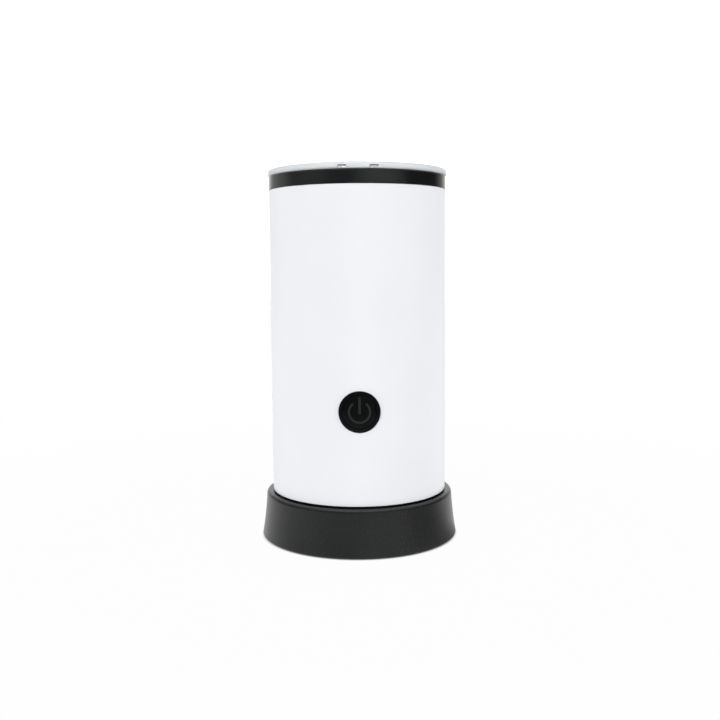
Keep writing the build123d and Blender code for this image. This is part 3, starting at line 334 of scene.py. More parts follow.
# Shrunk sleeve on the capacitor: dark blue film, slightly wrinkled
finishes["capacitor_sleeve"] = finish(
    "shrinkSleeve",
    {"Base Color": "#1E2638", "Roughness": 0.3, "IOR": 1.54},
    [{"pattern": "TexNoise", "size": 2.2, "stretch": (1, 4, 1), "tint": ("#27304A", 0.8),
      "rough": (0.22, 0.38), "depth": 0.01}],
)

# Natural nylon header: warm white and waxy
finishes["header_white"] = finish(
    "naturalNylon",
    {"Base Color": "#E4DFD3", "Roughness": 0.46, "IOR": 1.53},
    [{"pattern": "TexNoise", "size": 2, "tint": ("#D8D2C4", 0.8), "rough": (0.4, 0.54), "depth": 0.004}],
)

# Diffused epoxy lamp: milky and glossy
finishes["led_lens"] = finish(
    "diffusedEpoxy",
    {"Base Color": "#E6EAEC", "Roughness": 0.2, "IOR": 1.55, "Transmission Weight": 0.5},
    [{"pattern": "TexNoise", "size": 0.8, "tint": ("#DADFE2", 0.8), "rough": (0.16, 0.28)}],
)

# Lead insulation, extruded: silicone on the heater's leads, PVC on the rest, dull with faint draw lines
leadColours = {
    "lead_red": ("siliconeLead", "#8E2A22", "#7C241D"),
    "lead_brown": ("brownPvcLead", "#5A3B26", "#4B3120"),
    "lead_black": ("blackPvcLead", "#1C1C1D", "#262627"),
}
for slot, (name, colour, shade) in leadColours.items():
    finishes[slot] = finish(
        name,
        {"Base Color": colour, "Roughness": 0.48, "IOR": 1.5},
        [{"pattern": "TexNoise", "size": 1.5, "tint": (shade, 0.8), "rough": (0.42, 0.56), "depth": 0.004}],
    )

# The lid's disc is polished clear, and its outer edge is left matt from the mould, which makes it milky.
# That edge is painted darker grey towards the collar under it as painted shade, and the two vents through it
# are painted grey inside as painted shadow, with the glass made opaque there.
lidRim = {"clearTo": 43.8 * mm, "mattFrom": 45.4 * mm, "transmission": (1.0, 0.25), "rough": (0.07, 0.45),
          "colour": "#DBDEE0", "shadeBelow": 1.6 * mm, "paintedShadeColour": "#C6C9CB"}
# Painted shadow: the vents' colour below is a grey that stands for the shade inside the slots
vent = {"across": 7.75 * mm, "halfWidth": 2.15 * mm, "rise": 1.1 * mm, "halfHeight": 0.65 * mm,
        "front": -39.0 * mm, "blur": 0.12 * mm, "colour": "#84878A"}
lidTree = finishes["clear_lid"].node_tree
lidGlass = lidTree.nodes["Principled BSDF"]
lidPlace = addNode(lidTree, "TexCoord").outputs["Object"]
lidAxes = addNode(lidTree, "SeparateXYZ", {}, [("Vector", lidPlace)])
lidFlat = addNode(lidTree, "VectorMath", {"operation": "MULTIPLY", 1: (1, 1, 0)}, [(0, lidPlace)])
lidReach = addNode(lidTree, "VectorMath", {"operation": "LENGTH"}, [(0, lidFlat.outputs["Vector"])])


def lidMath(operation, first, second=0.0):
    # one sum on two values, each a socket or a number
    values = [(0, first), (1, second)]
    numbers = {i: value for i, value in values if isinstance(value, float)}
    sockets = [(i, value) for i, value in values if not isinstance(value, float)]
    return addNode(lidTree, "Math", {"operation": operation, **numbers}, sockets).outputs[0]


def lidSpread(value, start, end, low=0.0, high=1.0):
    # low up to start, high from end on, and even between
    node = addNode(lidTree, "MapRange", {"From Min": start, "From Max": end, "To Min": low, "To Max": high},
                   [("Value", value)])
    return node.outputs["Result"]


def lidTint(share, colour):
    # mixes a colour in over what the base colour had
    before = lidGlass.inputs["Base Color"].links[0].from_socket
    mix = addNode(lidTree, "Mix", {"data_type": "RGBA", mixTo: linear(colour)},
                  [(mixShare, share), (mixFrom, before)])
    lidTree.links.new(mix.outputs[mixed], lidGlass.inputs["Base Color"])


def lidNear(value, middle, half):
    # 1 within half of the middle, 0 past the blur beyond it
    away = lidMath("ABSOLUTE", lidMath("SUBTRACT", value, middle))
    return lidSpread(away, half, half + vent["blur"], 1.0, 0.0)


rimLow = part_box("top_collar")[1].z
rimSpan = lidReach.outputs["Value"], lidRim["clearTo"], lidRim["mattFrom"]
rimShare = lidSpread(*rimSpan)
# Painted shade: the milky edge is tinted darker grey over its lowest band, where the collar is under it
rimShadeShare = lidSpread(lidAxes.outputs["Z"], rimLow, rimLow + lidRim["shadeBelow"], 1.0, 0.0)
lidTint(rimShare, lidRim["colour"])
lidTint(lidMath("MULTIPLY", rimShare, rimShadeShare), lidRim["paintedShadeColour"])
# Painted shadow: inside the two vents the lid is tinted grey and its glass made opaque
ventSide = lidNear(lidMath("ABSOLUTE", lidAxes.outputs["X"]), vent["across"], vent["halfWidth"])
ventLevel = lidNear(lidAxes.outputs["Z"], rimLow + vent["rise"], vent["halfHeight"])
ventFront = lidMath("LESS_THAN", lidAxes.outputs["Y"], vent["front"])
ventShadowShare = lidMath("MULTIPLY", lidMath("MULTIPLY", ventSide, ventLevel), ventFront)
lidTint(ventShadowShare, vent["colour"])
rimClear = lidSpread(*rimSpan, *lidRim["transmission"])
lidClear = lidMath("MULTIPLY", rimClear, lidMath("SUBTRACT", 1.0, ventShadowShare))
lidTree.links.new(lidClear, lidGlass.inputs["Transmission Weight"])
lidTree.links.new(lidSpread(*rimSpan, *lidRim["rough"]), lidGlass.inputs["Roughness"])

# Lamps shine through the lid: for shadow rays its glass gives way to a clear film
lidPath = addNode(lidTree, "LightPath")
lidFilm = addNode(lidTree, "BsdfTransparent", {"Color": linear("#E3E6E8")})
lidMix = addNode(lidTree, "MixShader", {}, [(0, lidPath.outputs["Is Shadow Ray"]), (1, lidGlass.outputs[0]),
                                            (2, lidFilm.outputs[0])])
lidTree.links.new(lidMix.outputs[0], lidTree.nodes["Material Output"].inputs["Surface"])

nodeSlots = {row["node"]: row["material_slot"] for row in frame["record"]["subparts"]}
for name, slot in nodeSlots.items():
    nodes[name].data.materials.clear()
    nodes[name].data.materials.append(finishes[slot])
print("finishes:", len(finishes), "materials on", len(nodeSlots), "nodes")


# Surface helpers

mergeWithin, emptyBelow = 1e-7, 1e-8  # metres: points this near are one, edges this short are none
straight = 1e-12  # stands in for the length of nothing, where an outline runs straight through a corner
grooveLip, grooveFloor = 1 / 4, 1 / 3  # roundings of a groove, as shares of half its width


def gridFaces(rows, columns, wrapRows=True, wrapColumns=True):
    # quads between neighbouring points of a rows by columns grid, closed where it wraps
    rowSteps, columnSteps = rows - (not wrapRows), columns - (not wrapColumns)
    r, c = np.meshgrid(np.arange(rowSteps), np.arange(columnSteps), indexing="ij")
    down, right = (r + 1) % rows, (c + 1) % columns
    corners = [r * columns + c, r * columns + right, down * columns + right, down * columns + c]
    return np.stack(corners, -1).reshape(-1, 4)


def roundedOutline(corners, steps=8):
    # corners are (r, z, rounding): each is cut back along both its sides and bridged by a tangent arc
    corners = np.array(corners, float)
    point, rounding = corners[:, :2], corners[:, 2:]
    back = np.roll(point, 1, 0) - point
    ahead = np.roll(point, -1, 0) - point
    back /= np.linalg.norm(back, axis=1, keepdims=True)
    ahead /= np.linalg.norm(ahead, axis=1, keepdims=True)
    half = np.arccos(np.clip((back * ahead).sum(1, keepdims=True), -1, 1)) / 2
    middle = back + ahead
    middle /= np.maximum(np.linalg.norm(middle, axis=1, keepdims=True), straight)
    centre = point + middle * rounding / np.sin(half)
    start = point + back * rounding / np.tan(half) - centre
    end = point + ahead * rounding / np.tan(half) - centre
    sweep = (math.pi - 2 * half)[:, None]
    t = np.linspace(0, 1, steps + 1)[None, :, None]
    arc = (start[:, None] * np.sin((1 - t) * sweep) + end[:, None] * np.sin(t * sweep)) / np.sin(sweep)
    return (centre[:, None] + arc).reshape(-1, 2)


def turned(outline, sides):
    # an (r, z) outline carried round Z: x = r cos a, y = r sin a
    a = np.linspace(0, fullTurn, sides, endpoint=False)
    circle = np.stack([np.cos(a), np.sin(a)], -1)
    xy = outline[:, None, :1] * circle[None]
    z = np.broadcast_to(outline[:, None, 1:], (len(outline), sides, 1))
    return np.concatenate([xy, z], -1)


def carried(path, toward, radius, sides, closed):
    # a circle carried along a path: it lies across the path's direction, its first spoke leaning to toward
    if closed:
        along = np.roll(path, -1, 0) - np.roll(path, 1, 0)
    else:
        along = np.gradient(path, axis=0)
    along /= np.linalg.norm(along, axis=1, keepdims=True)
    first = toward - (toward * along).sum(1, keepdims=True) * along
    first /= np.linalg.norm(first, axis=1, keepdims=True)
    second = np.cross(along, first)
    a = np.linspace(0, fullTurn, sides, endpoint=False)[None, :, None]
    radius = np.broadcast_to(radius, len(path))[:, None, None]
    return path[:, None] + radius * (np.cos(a) * first[:, None] + np.sin(a) * second[:, None])


def putPiece(name, body, replaced, parts, sharp=35):
    # parts are (points, faces) pairs joined in one mesh: doubles merge, faces turn outwards,
    # and edges that bend by more than sharp degrees crease
    starts = np.cumsum([0] + [len(points) for points, _ in parts])
    points = np.concatenate([points for points, _ in parts])
    faces = [face for start, (_, quads) in zip(starts, parts) for face in (quads + start).tolist()]
    mesh = bpy.data.meshes.new(name)
    mesh.from_pydata(points.tolist(), [], faces)
    shape = bmesh.new()
    shape.from_mesh(mesh)
    bmesh.ops.remove_doubles(shape, verts=shape.verts, dist=mergeWithin)
    bmesh.ops.dissolve_degenerate(shape, edges=shape.edges, dist=emptyBelow)
    bmesh.ops.recalc_face_normals(shape, faces=shape.faces)
    shape.to_mesh(mesh)
    shape.free()
    mesh.shade_smooth()
    mesh.set_sharp_from_angle(angle=math.radians(sharp))
    slot = nodeSlots[replaced]
    mesh.materials.append(finishes[slot])
    piece = bpy.data.objects.new(name, mesh)
    bpy.context.scene.collection.objects.link(piece)
    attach(piece, body)
    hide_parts(replaced)
    print("piece:", name, len(mesh.polygons), "faces")


def ringGrid(outline, sides):
    # a closed outline turned into a ring, as points and faces
    grid = turned(outline, sides)
    return grid.reshape(-1, 3), gridFaces(*grid.shape[:2])


# Outer shell: a tube with rolled hems, and the button's round hole in its front
shell = {"wall": 1.0 * mm, "hemRise": 0.25 * mm, "holeInset": 2.0 * mm, "columns": 192, "windowColumns": 22,
         "holeRings": 8, "hemSteps": 8, "lowRows": 10, "highRows": 28}


def makeShell():
    # an (r, z) outline of two walls and two half-oval hems turned about Z, with a square window in its front
    # that two patches close down to the button's hole
    low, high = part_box("outer_shell")
    bezelLow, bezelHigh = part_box("button_bezel")
    neckLow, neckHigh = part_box("button_housing")
    outer, wall = high.x, shell["wall"]
    hem, rise = wall / 2, shell["hemRise"]
    step = fullTurn / shell["columns"]
    half = shell["windowColumns"] // 2
    window = outer * math.sin(half * step)
    buttonZ = (bezelLow.z + bezelHigh.z) / 2
    hole = (neckHigh.x - neckLow.x) / 2 - shell["holeInset"]
    # heights of the wall's rows: evenly through the window, and wider apart above and below it
    rows = np.concatenate([
        np.linspace(low.z + rise, buttonZ - window, shell["lowRows"], endpoint=False),
        np.linspace(buttonZ - window, buttonZ + window, shell["windowColumns"] + 1),
        np.linspace(buttonZ + window, high.z - rise, shell["highRows"] + 1)[1:],
    ])
    bend = np.linspace(0, math.pi, shell["hemSteps"] + 1)[1:-1]
    topHem = np.stack([outer - hem + hem * np.cos(bend), high.z - rise + rise * np.sin(bend)], -1)
    lowHem = np.stack([outer - hem - hem * np.cos(bend), low.z + rise - rise * np.sin(bend)], -1)
    outerWall = np.stack([np.full(len(rows), outer), rows], -1)
    innerWall = np.stack([np.full(len(rows), outer - wall), rows[::-1]], -1)
    grid = turned(np.concatenate([outerWall, topHem, innerWall, lowHem]), shell["columns"])
    faces = gridFaces(*grid.shape[:2]).reshape(*grid.shape[:2], 4)
    # the window: the same columns either side of the front, the same rows on both walls
    front = shell["columns"] * 3 // 4  # -Y is three quarters of a turn from +X
    columns = np.arange(front - half, front + half)
    firstRow = shell["lowRows"]
    outerRows = np.arange(firstRow, firstRow + shell["windowColumns"])
    innerRows = 2 * len(rows) + len(topHem) - 2 - outerRows
    kept = np.ones(faces.shape[:2], bool)
    kept[np.ix_(outerRows, columns)] = False
    kept[np.ix_(innerRows, columns)] = False
    parts = [(grid.reshape(-1, 3), faces[kept])]
    # each wall's patch: rings that pass from the window's square border to the round hole
    border = np.linspace(-1, 1, shell["windowColumns"], endpoint=False)
    edge = np.concatenate([
        np.stack([border, np.full_like(border, -1)], -1), np.stack([np.ones_like(border), border], -1),
        np.stack([-border, np.ones_like(border)], -1), np.stack([np.full_like(border, -1), -border], -1)])
    squareX = outer * np.sin(edge[:, 0] * half * step)
    squareZ = edge[:, 1] * window
    rings = []
    for radius in (outer, outer - wall):
        square = np.stack([squareX * radius / outer, squareZ], -1)
        circle = square / np.linalg.norm(square, axis=1, keepdims=True) * hole
        t = np.linspace(0, 1, shell["holeRings"] + 1)[:, None, None]
        flat = square * (1 - t) + circle * t
        y = -np.sqrt(radius ** 2 - flat[..., 0] ** 2)
        rings.append(np.stack([flat[..., 0], y, flat[..., 1] + buttonZ], -1))
    patch = np.concatenate([rings[0], rings[1][::-1]])
    parts.append((patch.reshape(-1, 3), gridFaces(*patch.shape[:2], wrapRows=False)))
    putPiece("outerShell", "jug", "outer_shell", parts)


makeShell()


# Top collar: a black band that seats the cup's flange, with a sleeve inside the shell
collar = {"sleeveGap": 0.1 * mm, "sleeveWall": 1.6 * mm, "seatWidth": 2.5 * mm, "flangeGap": 0.2 * mm,
          "topRound": 0.8 * mm, "hemRound": 0.25 * mm, "insideRound": 0.2 * mm, "sides": 256}


def makeCollar():
    # an (r, z) outline with rounded corners turned about Z
    low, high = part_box("top_collar")
    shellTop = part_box("outer_shell")[1]
    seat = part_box("cup_gasket")[0].z
    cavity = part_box("inner_cup")[1].x + collar["flangeGap"]
    mouth = cavity - collar["flangeGap"] - collar["seatWidth"]
    sleeve = shellTop.x - shell["wall"] - collar["sleeveGap"]
    sleeveInside = sleeve - collar["sleeveWall"]
    small = collar["insideRound"]
    outline = roundedOutline([
        (sleeve, shellTop.z, 0),
        (high.x, shellTop.z, collar["hemRound"]),
        (high.x, high.z, collar["topRound"]),
        (cavity, high.z, small),
        (cavity, seat, small),
        (mouth, seat, small),
        (mouth, shellTop.z, small),
        (sleeveInside, shellTop.z, small),
        (sleeveInside, low.z, small),
        (sleeve, low.z, small),
    ])
    putPiece("topCollar", "jug", "top_collar", [ringGrid(outline, collar["sides"])])


makeCollar()

# Whisk: a ring of wire on four welded spokes, with a long spring of fine wire curling round the ring
whisk = {"ringSamples": 240, "wireSides": 14, "spokes": 4, "spokeRadius": 0.6 * mm, "spokeStart": 10.3 * mm,
         "spokeSamples": 24, "weldFlare": 0.35 * mm, "weldReach": 1.4 * mm,
         "curlsRound": 40, "curlsOpen": 1, "openAt": 45, "coilRadius": 3.0 * mm, "coilWire": 0.4 * mm,
         "samplesPerCurl": 36, "coilSides": 12, "tipSteps": 5}
upward = np.array([[0, 0, 1.0]])


def whiskRing():
    # radius and height of the ring's middle line, and the radius of its wire
    low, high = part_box("whisk_frame")
    wire = (high.z - low.z) / 2
    return high.x - wire, (low.z + high.z) / 2, wire


def makeWhiskFrame():
    # a circle carried round the ring, and one carried out along each spoke
    ring, height, wire = whiskRing()
    a = np.linspace(0, fullTurn, whisk["ringSamples"], endpoint=False)
    outward = np.stack([np.cos(a), np.sin(a), np.zeros_like(a)], -1)
    hoop = carried(outward * ring + [0, 0, height], outward, wire, whisk["wireSides"], True)
    parts = [(hoop.reshape(-1, 3), gridFaces(*hoop.shape[:2]))]
    # spokes swell into a weld where they reach the ring
    reach = np.linspace(whisk["spokeStart"], ring, whisk["spokeSamples"])
    flare = np.clip((reach - ring + whisk["weldReach"]) / whisk["weldReach"], 0, 1) ** 2 * whisk["weldFlare"]
    flare[-1] = flare[0] = -whisk["spokeRadius"]
    for turn in np.arange(whisk["spokes"]) * fullTurn / whisk["spokes"]:
        heading = np.array([math.cos(turn), math.sin(turn), 0])
        path = reach[:, None] * heading + [0, 0, height]
        spoke = carried(path, upward, whisk["spokeRadius"] + flare, whisk["wireSides"], False)
        parts.append((spoke.reshape(-1, 3), gridFaces(*spoke.shape[:2], wrapRows=False)))
    putPiece("whiskFrame", "whisk", "whisk_frame", parts)


def makeWhiskCoil():
    # one curl per turn t: the wire goes t / curlsRound of the way round Z and circles the ring t times
    ring, height, _ = whiskRing()
    curls = whisk["curlsRound"] - whisk["curlsOpen"]
    start = whisk["curlsRound"] * whisk["openAt"] / 360 + whisk["curlsOpen"] / 2
    t = start + np.linspace(0, curls, curls * whisk["samplesPerCurl"] + 1)
    around, curl = fullTurn * t / whisk["curlsRound"], fullTurn * t
    outward = np.stack([np.cos(around), np.sin(around), np.zeros_like(t)], -1)
    spoke = np.cos(curl)[:, None] * outward + np.sin(curl)[:, None] * upward
    path = outward * ring + [0, 0, height] + spoke * whisk["coilRadius"]
    # round tips: a few sections past each end, on a half circle
    tip = np.linspace(0, math.pi / 2, whisk["tipSteps"] + 1)[1:]
    headStep = path[0] - path[1]
    tailStep = path[-1] - path[-2]
    head = path[0] + np.sin(tip)[::-1, None] * headStep / np.linalg.norm(headStep) * whisk["coilWire"]
    tail = path[-1] + np.sin(tip)[:, None] * tailStep / np.linalg.norm(tailStep) * whisk["coilWire"]
    radius = np.concatenate([np.cos(tip)[::-1], np.ones(len(path)), np.cos(tip)]) * whisk["coilWire"]
    toward = np.concatenate([np.repeat(spoke[:1], len(tip), 0), spoke, np.repeat(spoke[-1:], len(tip), 0)])
    path = np.concatenate([head, path, tail])
    tube = carried(path, toward, radius, whisk["coilSides"], False)
    faces = gridFaces(*tube.shape[:2], wrapRows=False)
    putPiece("whiskCoil", "whisk", "whisk_coil", [(tube.reshape(-1, 3), faces)])


makeWhiskFrame()
makeWhiskCoil()

# Lid seal: a silicone band in the skirt's groove, with two tapered lips that lean up
seal = {"depth": 2.09 * mm, "band": 0.9 * mm, "lipRoot": 1.3 * mm, "lipTip": 0.45 * mm, "lean": 0.5 * mm,
        "tipRound": 0.2 * mm, "edgeRound": 0.25 * mm, "sides": 220, "sharp": 50}


def makeSeal():
    # an (r, z) outline of a band and two leaning lips turned about Z
    low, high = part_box("lid_seal")
    inside = high.x - seal["depth"]
    band = inside + seal["band"]
    lowLip = low.z + seal["edgeRound"]
    highLip = high.z - seal["edgeRound"] - seal["lipRoot"]
    corners = [(inside, low.z, seal["edgeRound"]), (band, low.z, seal["edgeRound"] / 2)]
    for root in (lowLip, highLip):
        tip = root + seal["lean"]
        corners += [(band, root, 0), (high.x, tip, seal["tipRound"]),
                    (high.x, tip + seal["lipTip"], seal["tipRound"]), (band, root + seal["lipRoot"], 0)]
    corners += [(band, high.z, seal["edgeRound"] / 2), (inside, high.z, seal["edgeRound"])]
    ring = ringGrid(roundedOutline(corners), seal["sides"])
    putPiece("lidSeal", "lid", "lid_seal", [ring], seal["sharp"])


makeSeal()

# Dock feet: rubber pads pressed into the underside, each with two ring grooves that grip
feet = {"count": 3, "firstAt": 90, "radius": 6.0 * mm, "edgeRound": 0.5 * mm, "topRound": 0.5 / 3 * mm,
        "grooves": (2.0 * mm, 4.0 * mm), "grooveHalf": 0.4 * mm, "grooveDepth": 0.4 * mm, "sides": 72}


def makeFeet():
    # an (r, z) outline turned about Z makes one pad, and copies of it stand round the dock's middle
    low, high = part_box("dock_feet")
    circle = high.y - feet["radius"]
    half, deep = feet["grooveHalf"], low.z + feet["grooveDepth"]
    lip = half * grooveLip
    corners = [(0, low.z, 0)]
    for groove in feet["grooves"]:
        corners += [(groove - half, low.z, lip), (groove, deep, half * grooveFloor),
                    (groove + half, low.z, lip)]
    corners += [(feet["radius"], low.z, feet["edgeRound"]), (feet["radius"], high.z, feet["topRound"]),
                (0, high.z, 0)]
    pad = turned(roundedOutline(corners), feet["sides"])
    faces = gridFaces(*pad.shape[:2], wrapRows=False)
    turns = math.radians(feet["firstAt"]) + np.arange(feet["count"]) * fullTurn / feet["count"]
    places = np.stack([np.cos(turns), np.sin(turns), np.zeros_like(turns)], -1) * circle
    pads = [(pad.reshape(-1, 3) + place, faces) for place in places]
    putPiece("dockFeet", "dock", "dock_feet", pads)


makeFeet()

# Cord gland: a rubber bush through the dock's rear wall, its mouth rounded and its bore grooved for grip
gland = {"bore": 3.3 * mm, "mouthRound": 0.4 * mm, "edgeRound": 0.25 * mm, "grooves": 3,
         "grooveDepth": 0.25 * mm, "grooveHalf": 0.3 * mm, "sides": 96}


def makeGland():
    # an (r, y) outline turned about the bush's own axis, which runs along Y
    low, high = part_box("cord_gland")
    radius, middle = (high.x - low.x) / 2, (low.z + high.z) / 2
    bore, half = gland["bore"], gland["grooveHalf"]
    deep, lip = bore + gland["grooveDepth"], half * grooveLip
    corners = [(bore, high.y, gland["mouthRound"]), (radius, high.y, gland["edgeRound"]),
               (radius, low.y, gland["edgeRound"]), (bore, low.y, gland["edgeRound"])]
    for at in np.linspace(low.y, high.y, gland["grooves"] + 2)[1:-1]:
        corners += [(bore, at - half, lip), (deep, at, half * grooveFloor), (bore, at + half, lip)]
    grid = turned(roundedOutline(corners), gland["sides"])
    bush = np.stack([grid[..., 0], grid[..., 2], grid[..., 1] + middle], -1)
    putPiece("cordGland", "dock", "cord_gland", [(bush.reshape(-1, 3), gridFaces(*bush.shape[:2]))])


makeGland()

# Cup gasket: a flat silicone ring under the cup's flange, with a groove between its two beads
gasket = {"width": 1.7 * mm, "edgeRound": 0.3 * mm, "grooveHalf": 0.25 * mm, "grooveDepth": 0.25 * mm,
          "sides": 220}


def makeGasket():
    # an (r, z) outline with a notch in its top turned about Z
    low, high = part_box("cup_gasket")
    inside, half = high.x - gasket["width"], gasket["grooveHalf"]
    middle = (inside + high.x) / 2
    edge = gasket["edgeRound"]
    outline = roundedOutline([
        (inside, low.z, edge),
        (high.x, low.z, edge),
        (high.x, high.z, edge),
        (middle + half, high.z, half * grooveLip),
        (middle, high.z - gasket["grooveDepth"], half * grooveFloor),
        (middle - half, high.z, half * grooveLip),
        (inside, high.z, edge),
    ])
    putPiece("cupGasket", "jug", "cup_gasket", [ringGrid(outline, gasket["sides"])])


makeGasket()

# Floor, light and camera

# Studio: a white floor and a white sweep all round. Camera rays meet both at full white. Mirror and glass
# rays meet a bright floor under pale panels, dim towards the camera, as a room is behind one.
# The floor keeps the object's shadow near it, and fades to plain white where it runs out of sight.
studio = {"floorHalf": 4.0, "floorDrop": 0.1 * mm, "floorColour": "#CDCDCD", "floorShown": 0.975,
          "fadeFrom": 0.16, "fadeTo": 0.5, "contactFrom": 50.8 * mm, "contactTo": 53.2 * mm, "ambient": 0.46}
# Mirror rays meet less light on the floor towards the camera, by Y, and on the right, by angles round Z
floorFront = {"from": -0.18, "to": -0.45, "level": 0.06}
floorRight = {"towards": (0.96, -0.28, 0), "angles": (4, 32), "level": 0.42}

floorMesh = bpy.data.meshes.new("floor")
half = studio["floorHalf"]
level = -studio["floorDrop"]
corners = [(-half, -half, level), (half, -half, level), (half, half, level), (-half, half, level)]
floorMesh.from_pydata(corners, [], [(0, 1, 2, 3)])
floor = bpy.data.objects.new("floor", floorMesh)
bpy.context.scene.collection.objects.link(floor)
floorPaint = bpy.data.materials.new("paleStudioFloor")
floorPaint.use_nodes = True
floorTree = floorPaint.node_tree
floorTree.nodes.remove(floorTree.nodes["Principled BSDF"])
floorMesh.materials.append(floorPaint)


def seenRays(tree):
    # 1 for the camera's own rays, and 1 for all rays that look at the studio and don't carry its light
    path = addNode(tree, "LightPath").outputs
    mirror = addNode(tree, "Math", {"operation": "MAXIMUM"},
                     [(0, path["Is Glossy Ray"]), (1, path["Is Transmission Ray"])])
    seen = addNode(tree, "Math", {"operation": "MAXIMUM"},
                   [(0, path["Is Camera Ray"]), (1, mirror.outputs[0])])
    return path["Is Camera Ray"], seen.outputs[0]


def cosines(angles):
    # cosines of an inner and an outer angle in degrees, to hold a dot product of two directions against
    return (math.cos(math.radians(angle)) for angle in angles)


floorCamera, floorSeen = seenRays(floorTree)
floorPlace = addNode(floorTree, "NewGeometry").outputs["Position"]
floorReach = addNode(floorTree, "VectorMath", {"operation": "LENGTH"}, [(0, floorPlace)])
floorFade = addNode(
    floorTree, "MapRange",
    {"From Min": studio["fadeFrom"], "From Max": studio["fadeTo"], "To Min": studio["floorShown"],
     "To Max": 1.0},
    [("Value", floorReach.outputs["Value"])])
floorOpen = addNode(
    floorTree, "MapRange", {"From Min": studio["contactFrom"], "From Max": studio["contactTo"]},
    [("Value", floorReach.outputs["Value"])])
floorOwn = addNode(floorTree, "Math", {"operation": "MULTIPLY"},
                   [(0, floorOpen.outputs["Result"]), (1, floorFade.outputs["Result"])])
floorShare = addNode(floorTree, "Math", {"operation": "MULTIPLY"}, [(0, floorSeen), (1, floorOwn.outputs[0])])
floorAxes = addNode(floorTree, "SeparateXYZ", {}, [("Vector", floorPlace)])
frontDim = addNode(
    floorTree, "MapRange",
    {"From Min": floorFront["from"], "From Max": floorFront["to"], "To Min": 1.0,
     "To Max": floorFront["level"]},
    [("Value", floorAxes.outputs["Y"])])
floorWay = addNode(floorTree, "VectorMath", {"operation": "NORMALIZE"}, [(0, floorPlace)])
floorFacing = addNode(floorTree, "VectorMath", {"operation": "DOT_PRODUCT", 1: floorRight["towards"]},
                      [(0, floorWay.outputs["Vector"])])
inner, outer = cosines(floorRight["angles"])
rightDim = addNode(
    floorTree, "MapRange",
    {"From Min": outer, "From Max": inner, "To Min": 1.0, "To Max": floorRight["level"]},
    [("Value", floorFacing.outputs["Value"])])
floorMirror = addNode(floorTree, "Math", {"operation": "MULTIPLY"},
                      [(0, frontDim.outputs["Result"]), (1, rightDim.outputs["Result"])])
floorLevel = addNode(floorTree, "Math", {"operation": "MAXIMUM"},
                     [(0, floorCamera), (1, floorMirror.outputs[0])])
floorMatt = addNode(floorTree, "BsdfDiffuse", {"Color": linear(studio["floorColour"])})
floorWhite = addNode(floorTree, "Emission", {}, [("Strength", floorLevel.outputs[0])])
floorMix = addNode(floorTree, "MixShader", {}, [(0, floorShare.outputs[0]), (1, floorMatt.outputs[0]),
                                                (2, floorWhite.outputs[0])])
floorTree.links.new(floorMix.outputs[0], floorTree.nodes["Material Output"].inputs["Surface"])

# What mirror rays see of the sweep: pale panels in a dim room, with a white wall behind the object.
# Each faces the object from a direction, is even within the first angle of it, and is gone past the second.
panels = {
    "rightPanel": {"from": (0.47, -0.88, 0), "angles": (12, 43), "level": 0.66},
    "leftPanel": {"from": (-0.88, -0.47, 0), "angles": (6, 40), "level": 0.4},
    "leftWall": {"from": (-0.94, -0.34, 0), "angles": (40, 104), "level": 0.21},
    "leftBackPanel": {"from": (-0.85, 0.53, 0), "angles": (14, 38), "level": 0.62},
    "rightBackPanel": {"from": (0.5, 0.87, 0), "angles": (6, 32), "level": 0.5},
    "backWall": {"from": (0, 1, 0), "angles": (20, 52), "level": 1.25},
    "ceiling": {"from": (0, 0, 1), "angles": (36, 78), "level": 1.1},
    "room": {"from": (0, 0, 1), "angles": (0, 180), "level": 0.05},
}

world = bpy.data.worlds.new("whiteStudio")
bpy.context.scene.world = world
world.use_nodes = True
sky = world.node_tree
skyCamera, skySeen = seenRays(sky)
skyPlace = addNode(sky, "TexCoord").outputs["Generated"]
skyLevel = skyCamera
for panel in panels.values():
    inner, outer = cosines(panel["angles"])
    facing = addNode(sky, "VectorMath", {"operation": "DOT_PRODUCT", 1: panel["from"]}, [(0, skyPlace)])
    part = addNode(sky, "MapRange", {"From Min": outer, "From Max": inner, "To Max": panel["level"]},
                   [("Value", facing.outputs["Value"])])
    both = addNode(sky, "Math", {"operation": "MAXIMUM"}, [(0, skyLevel), (1, part.outputs["Result"])])
    skyLevel = both.outputs[0]
skyLight = addNode(sky, "Background", {"Color": linear("#FFFFFF"), "Strength": studio["ambient"]})
skyWhite = addNode(sky, "Background", {"Color": linear("#FFFFFF")}, [("Strength", skyLevel)])
skyMix = addNode(sky, "MixShader", {}, [(0, skySeen), (1, skyLight.outputs[0]), (2, skyWhite.outputs[0])])
sky.links.new(skyMix.outputs[0], sky.nodes["World Output"].inputs["Surface"])

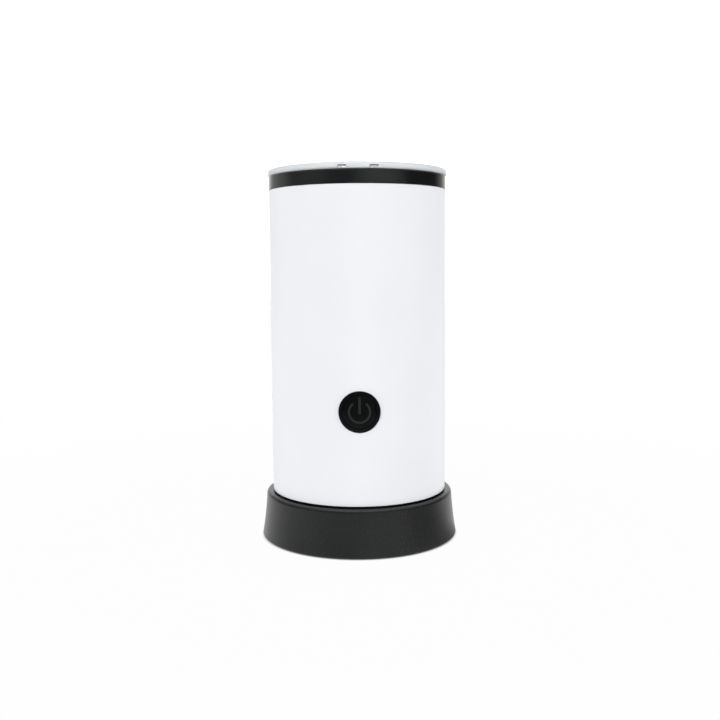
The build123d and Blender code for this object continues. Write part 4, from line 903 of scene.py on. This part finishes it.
# Soft boxes: share is the part of full white that each adds to a surface that faces it. Low strips stand
# round the object, a square box hangs above it, and all face its middle.
softBoxes = {
    "leftStrip": {"place": (-1.25, -0.8, 0.12), "size": (1.0, 0.22), "share": 0.49, "mirrored": False},
    "rightStrip": {"place": (1.25, -0.7, 0.12), "size": (1.0, 0.22), "share": 0.485, "mirrored": False},
    "frontStrip": {"place": (0.0, -1.5, 0.12), "size": (1.0, 0.22), "share": 0.11, "mirrored": False},
    "backStrip": {"place": (0.0, 1.5, 0.12), "size": (1.0, 0.22), "share": 0.4, "mirrored": False},
    "topBox": {"place": (0.0, -0.1, 1.5), "size": (1.2, 1.2), "share": 0.28, "mirrored": True},
}
aim = np.array([0, 0, 100 * mm])
for name, box in softBoxes.items():
    reach = np.array(box["place"]) - aim
    distance = float(np.linalg.norm(reach))
    lamp = bpy.data.lights.new(name, "AREA")
    lamp.shape = "RECTANGLE"
    lamp.size, lamp.size_y = box["size"]
    lamp.energy = box["share"] * (math.pi * distance) ** 2  # watts that give this share at the object
    holder = bpy.data.objects.new(name, lamp)
    bpy.context.scene.collection.objects.link(holder)
    holder.location = box["place"]
    holder.visible_glossy = box["mirrored"]
    holder.rotation_euler = Vector(reach).to_track_quat("Z", "Y").to_euler()
print("studio:", len(softBoxes), "soft boxes")

# Camera, from the outlines of dock, shell, collar and lid in the photograph
photoCamera = {
    "place": (-0.004365, -0.486461, 0.14242),
    "right": (0.999911, -0.011494, -0.006692),
    "up": (0.007807, 0.099917, 0.994965),
    "back": (-0.010767, -0.99493, 0.099998),
    "lens": 45.443,
    "sensor": 36.0,
    "near": 10 * mm,
}
cameraData = bpy.data.cameras.new("photoCamera")
cameraData.lens = photoCamera["lens"]
cameraData.sensor_width = photoCamera["sensor"]
cameraData.clip_start = photoCamera["near"]
camera = bpy.data.objects.new("photoCamera", cameraData)
bpy.context.scene.collection.objects.link(camera)
axes = [photoCamera[key] for key in ("right", "up", "back", "place")]
camera.matrix_world = Matrix([[axis[i] for axis in axes] for i in range(3)] + [[0, 0, 0, 1]])
bpy.context.scene.camera = camera
bpy.context.scene.view_settings.view_transform = "Standard"
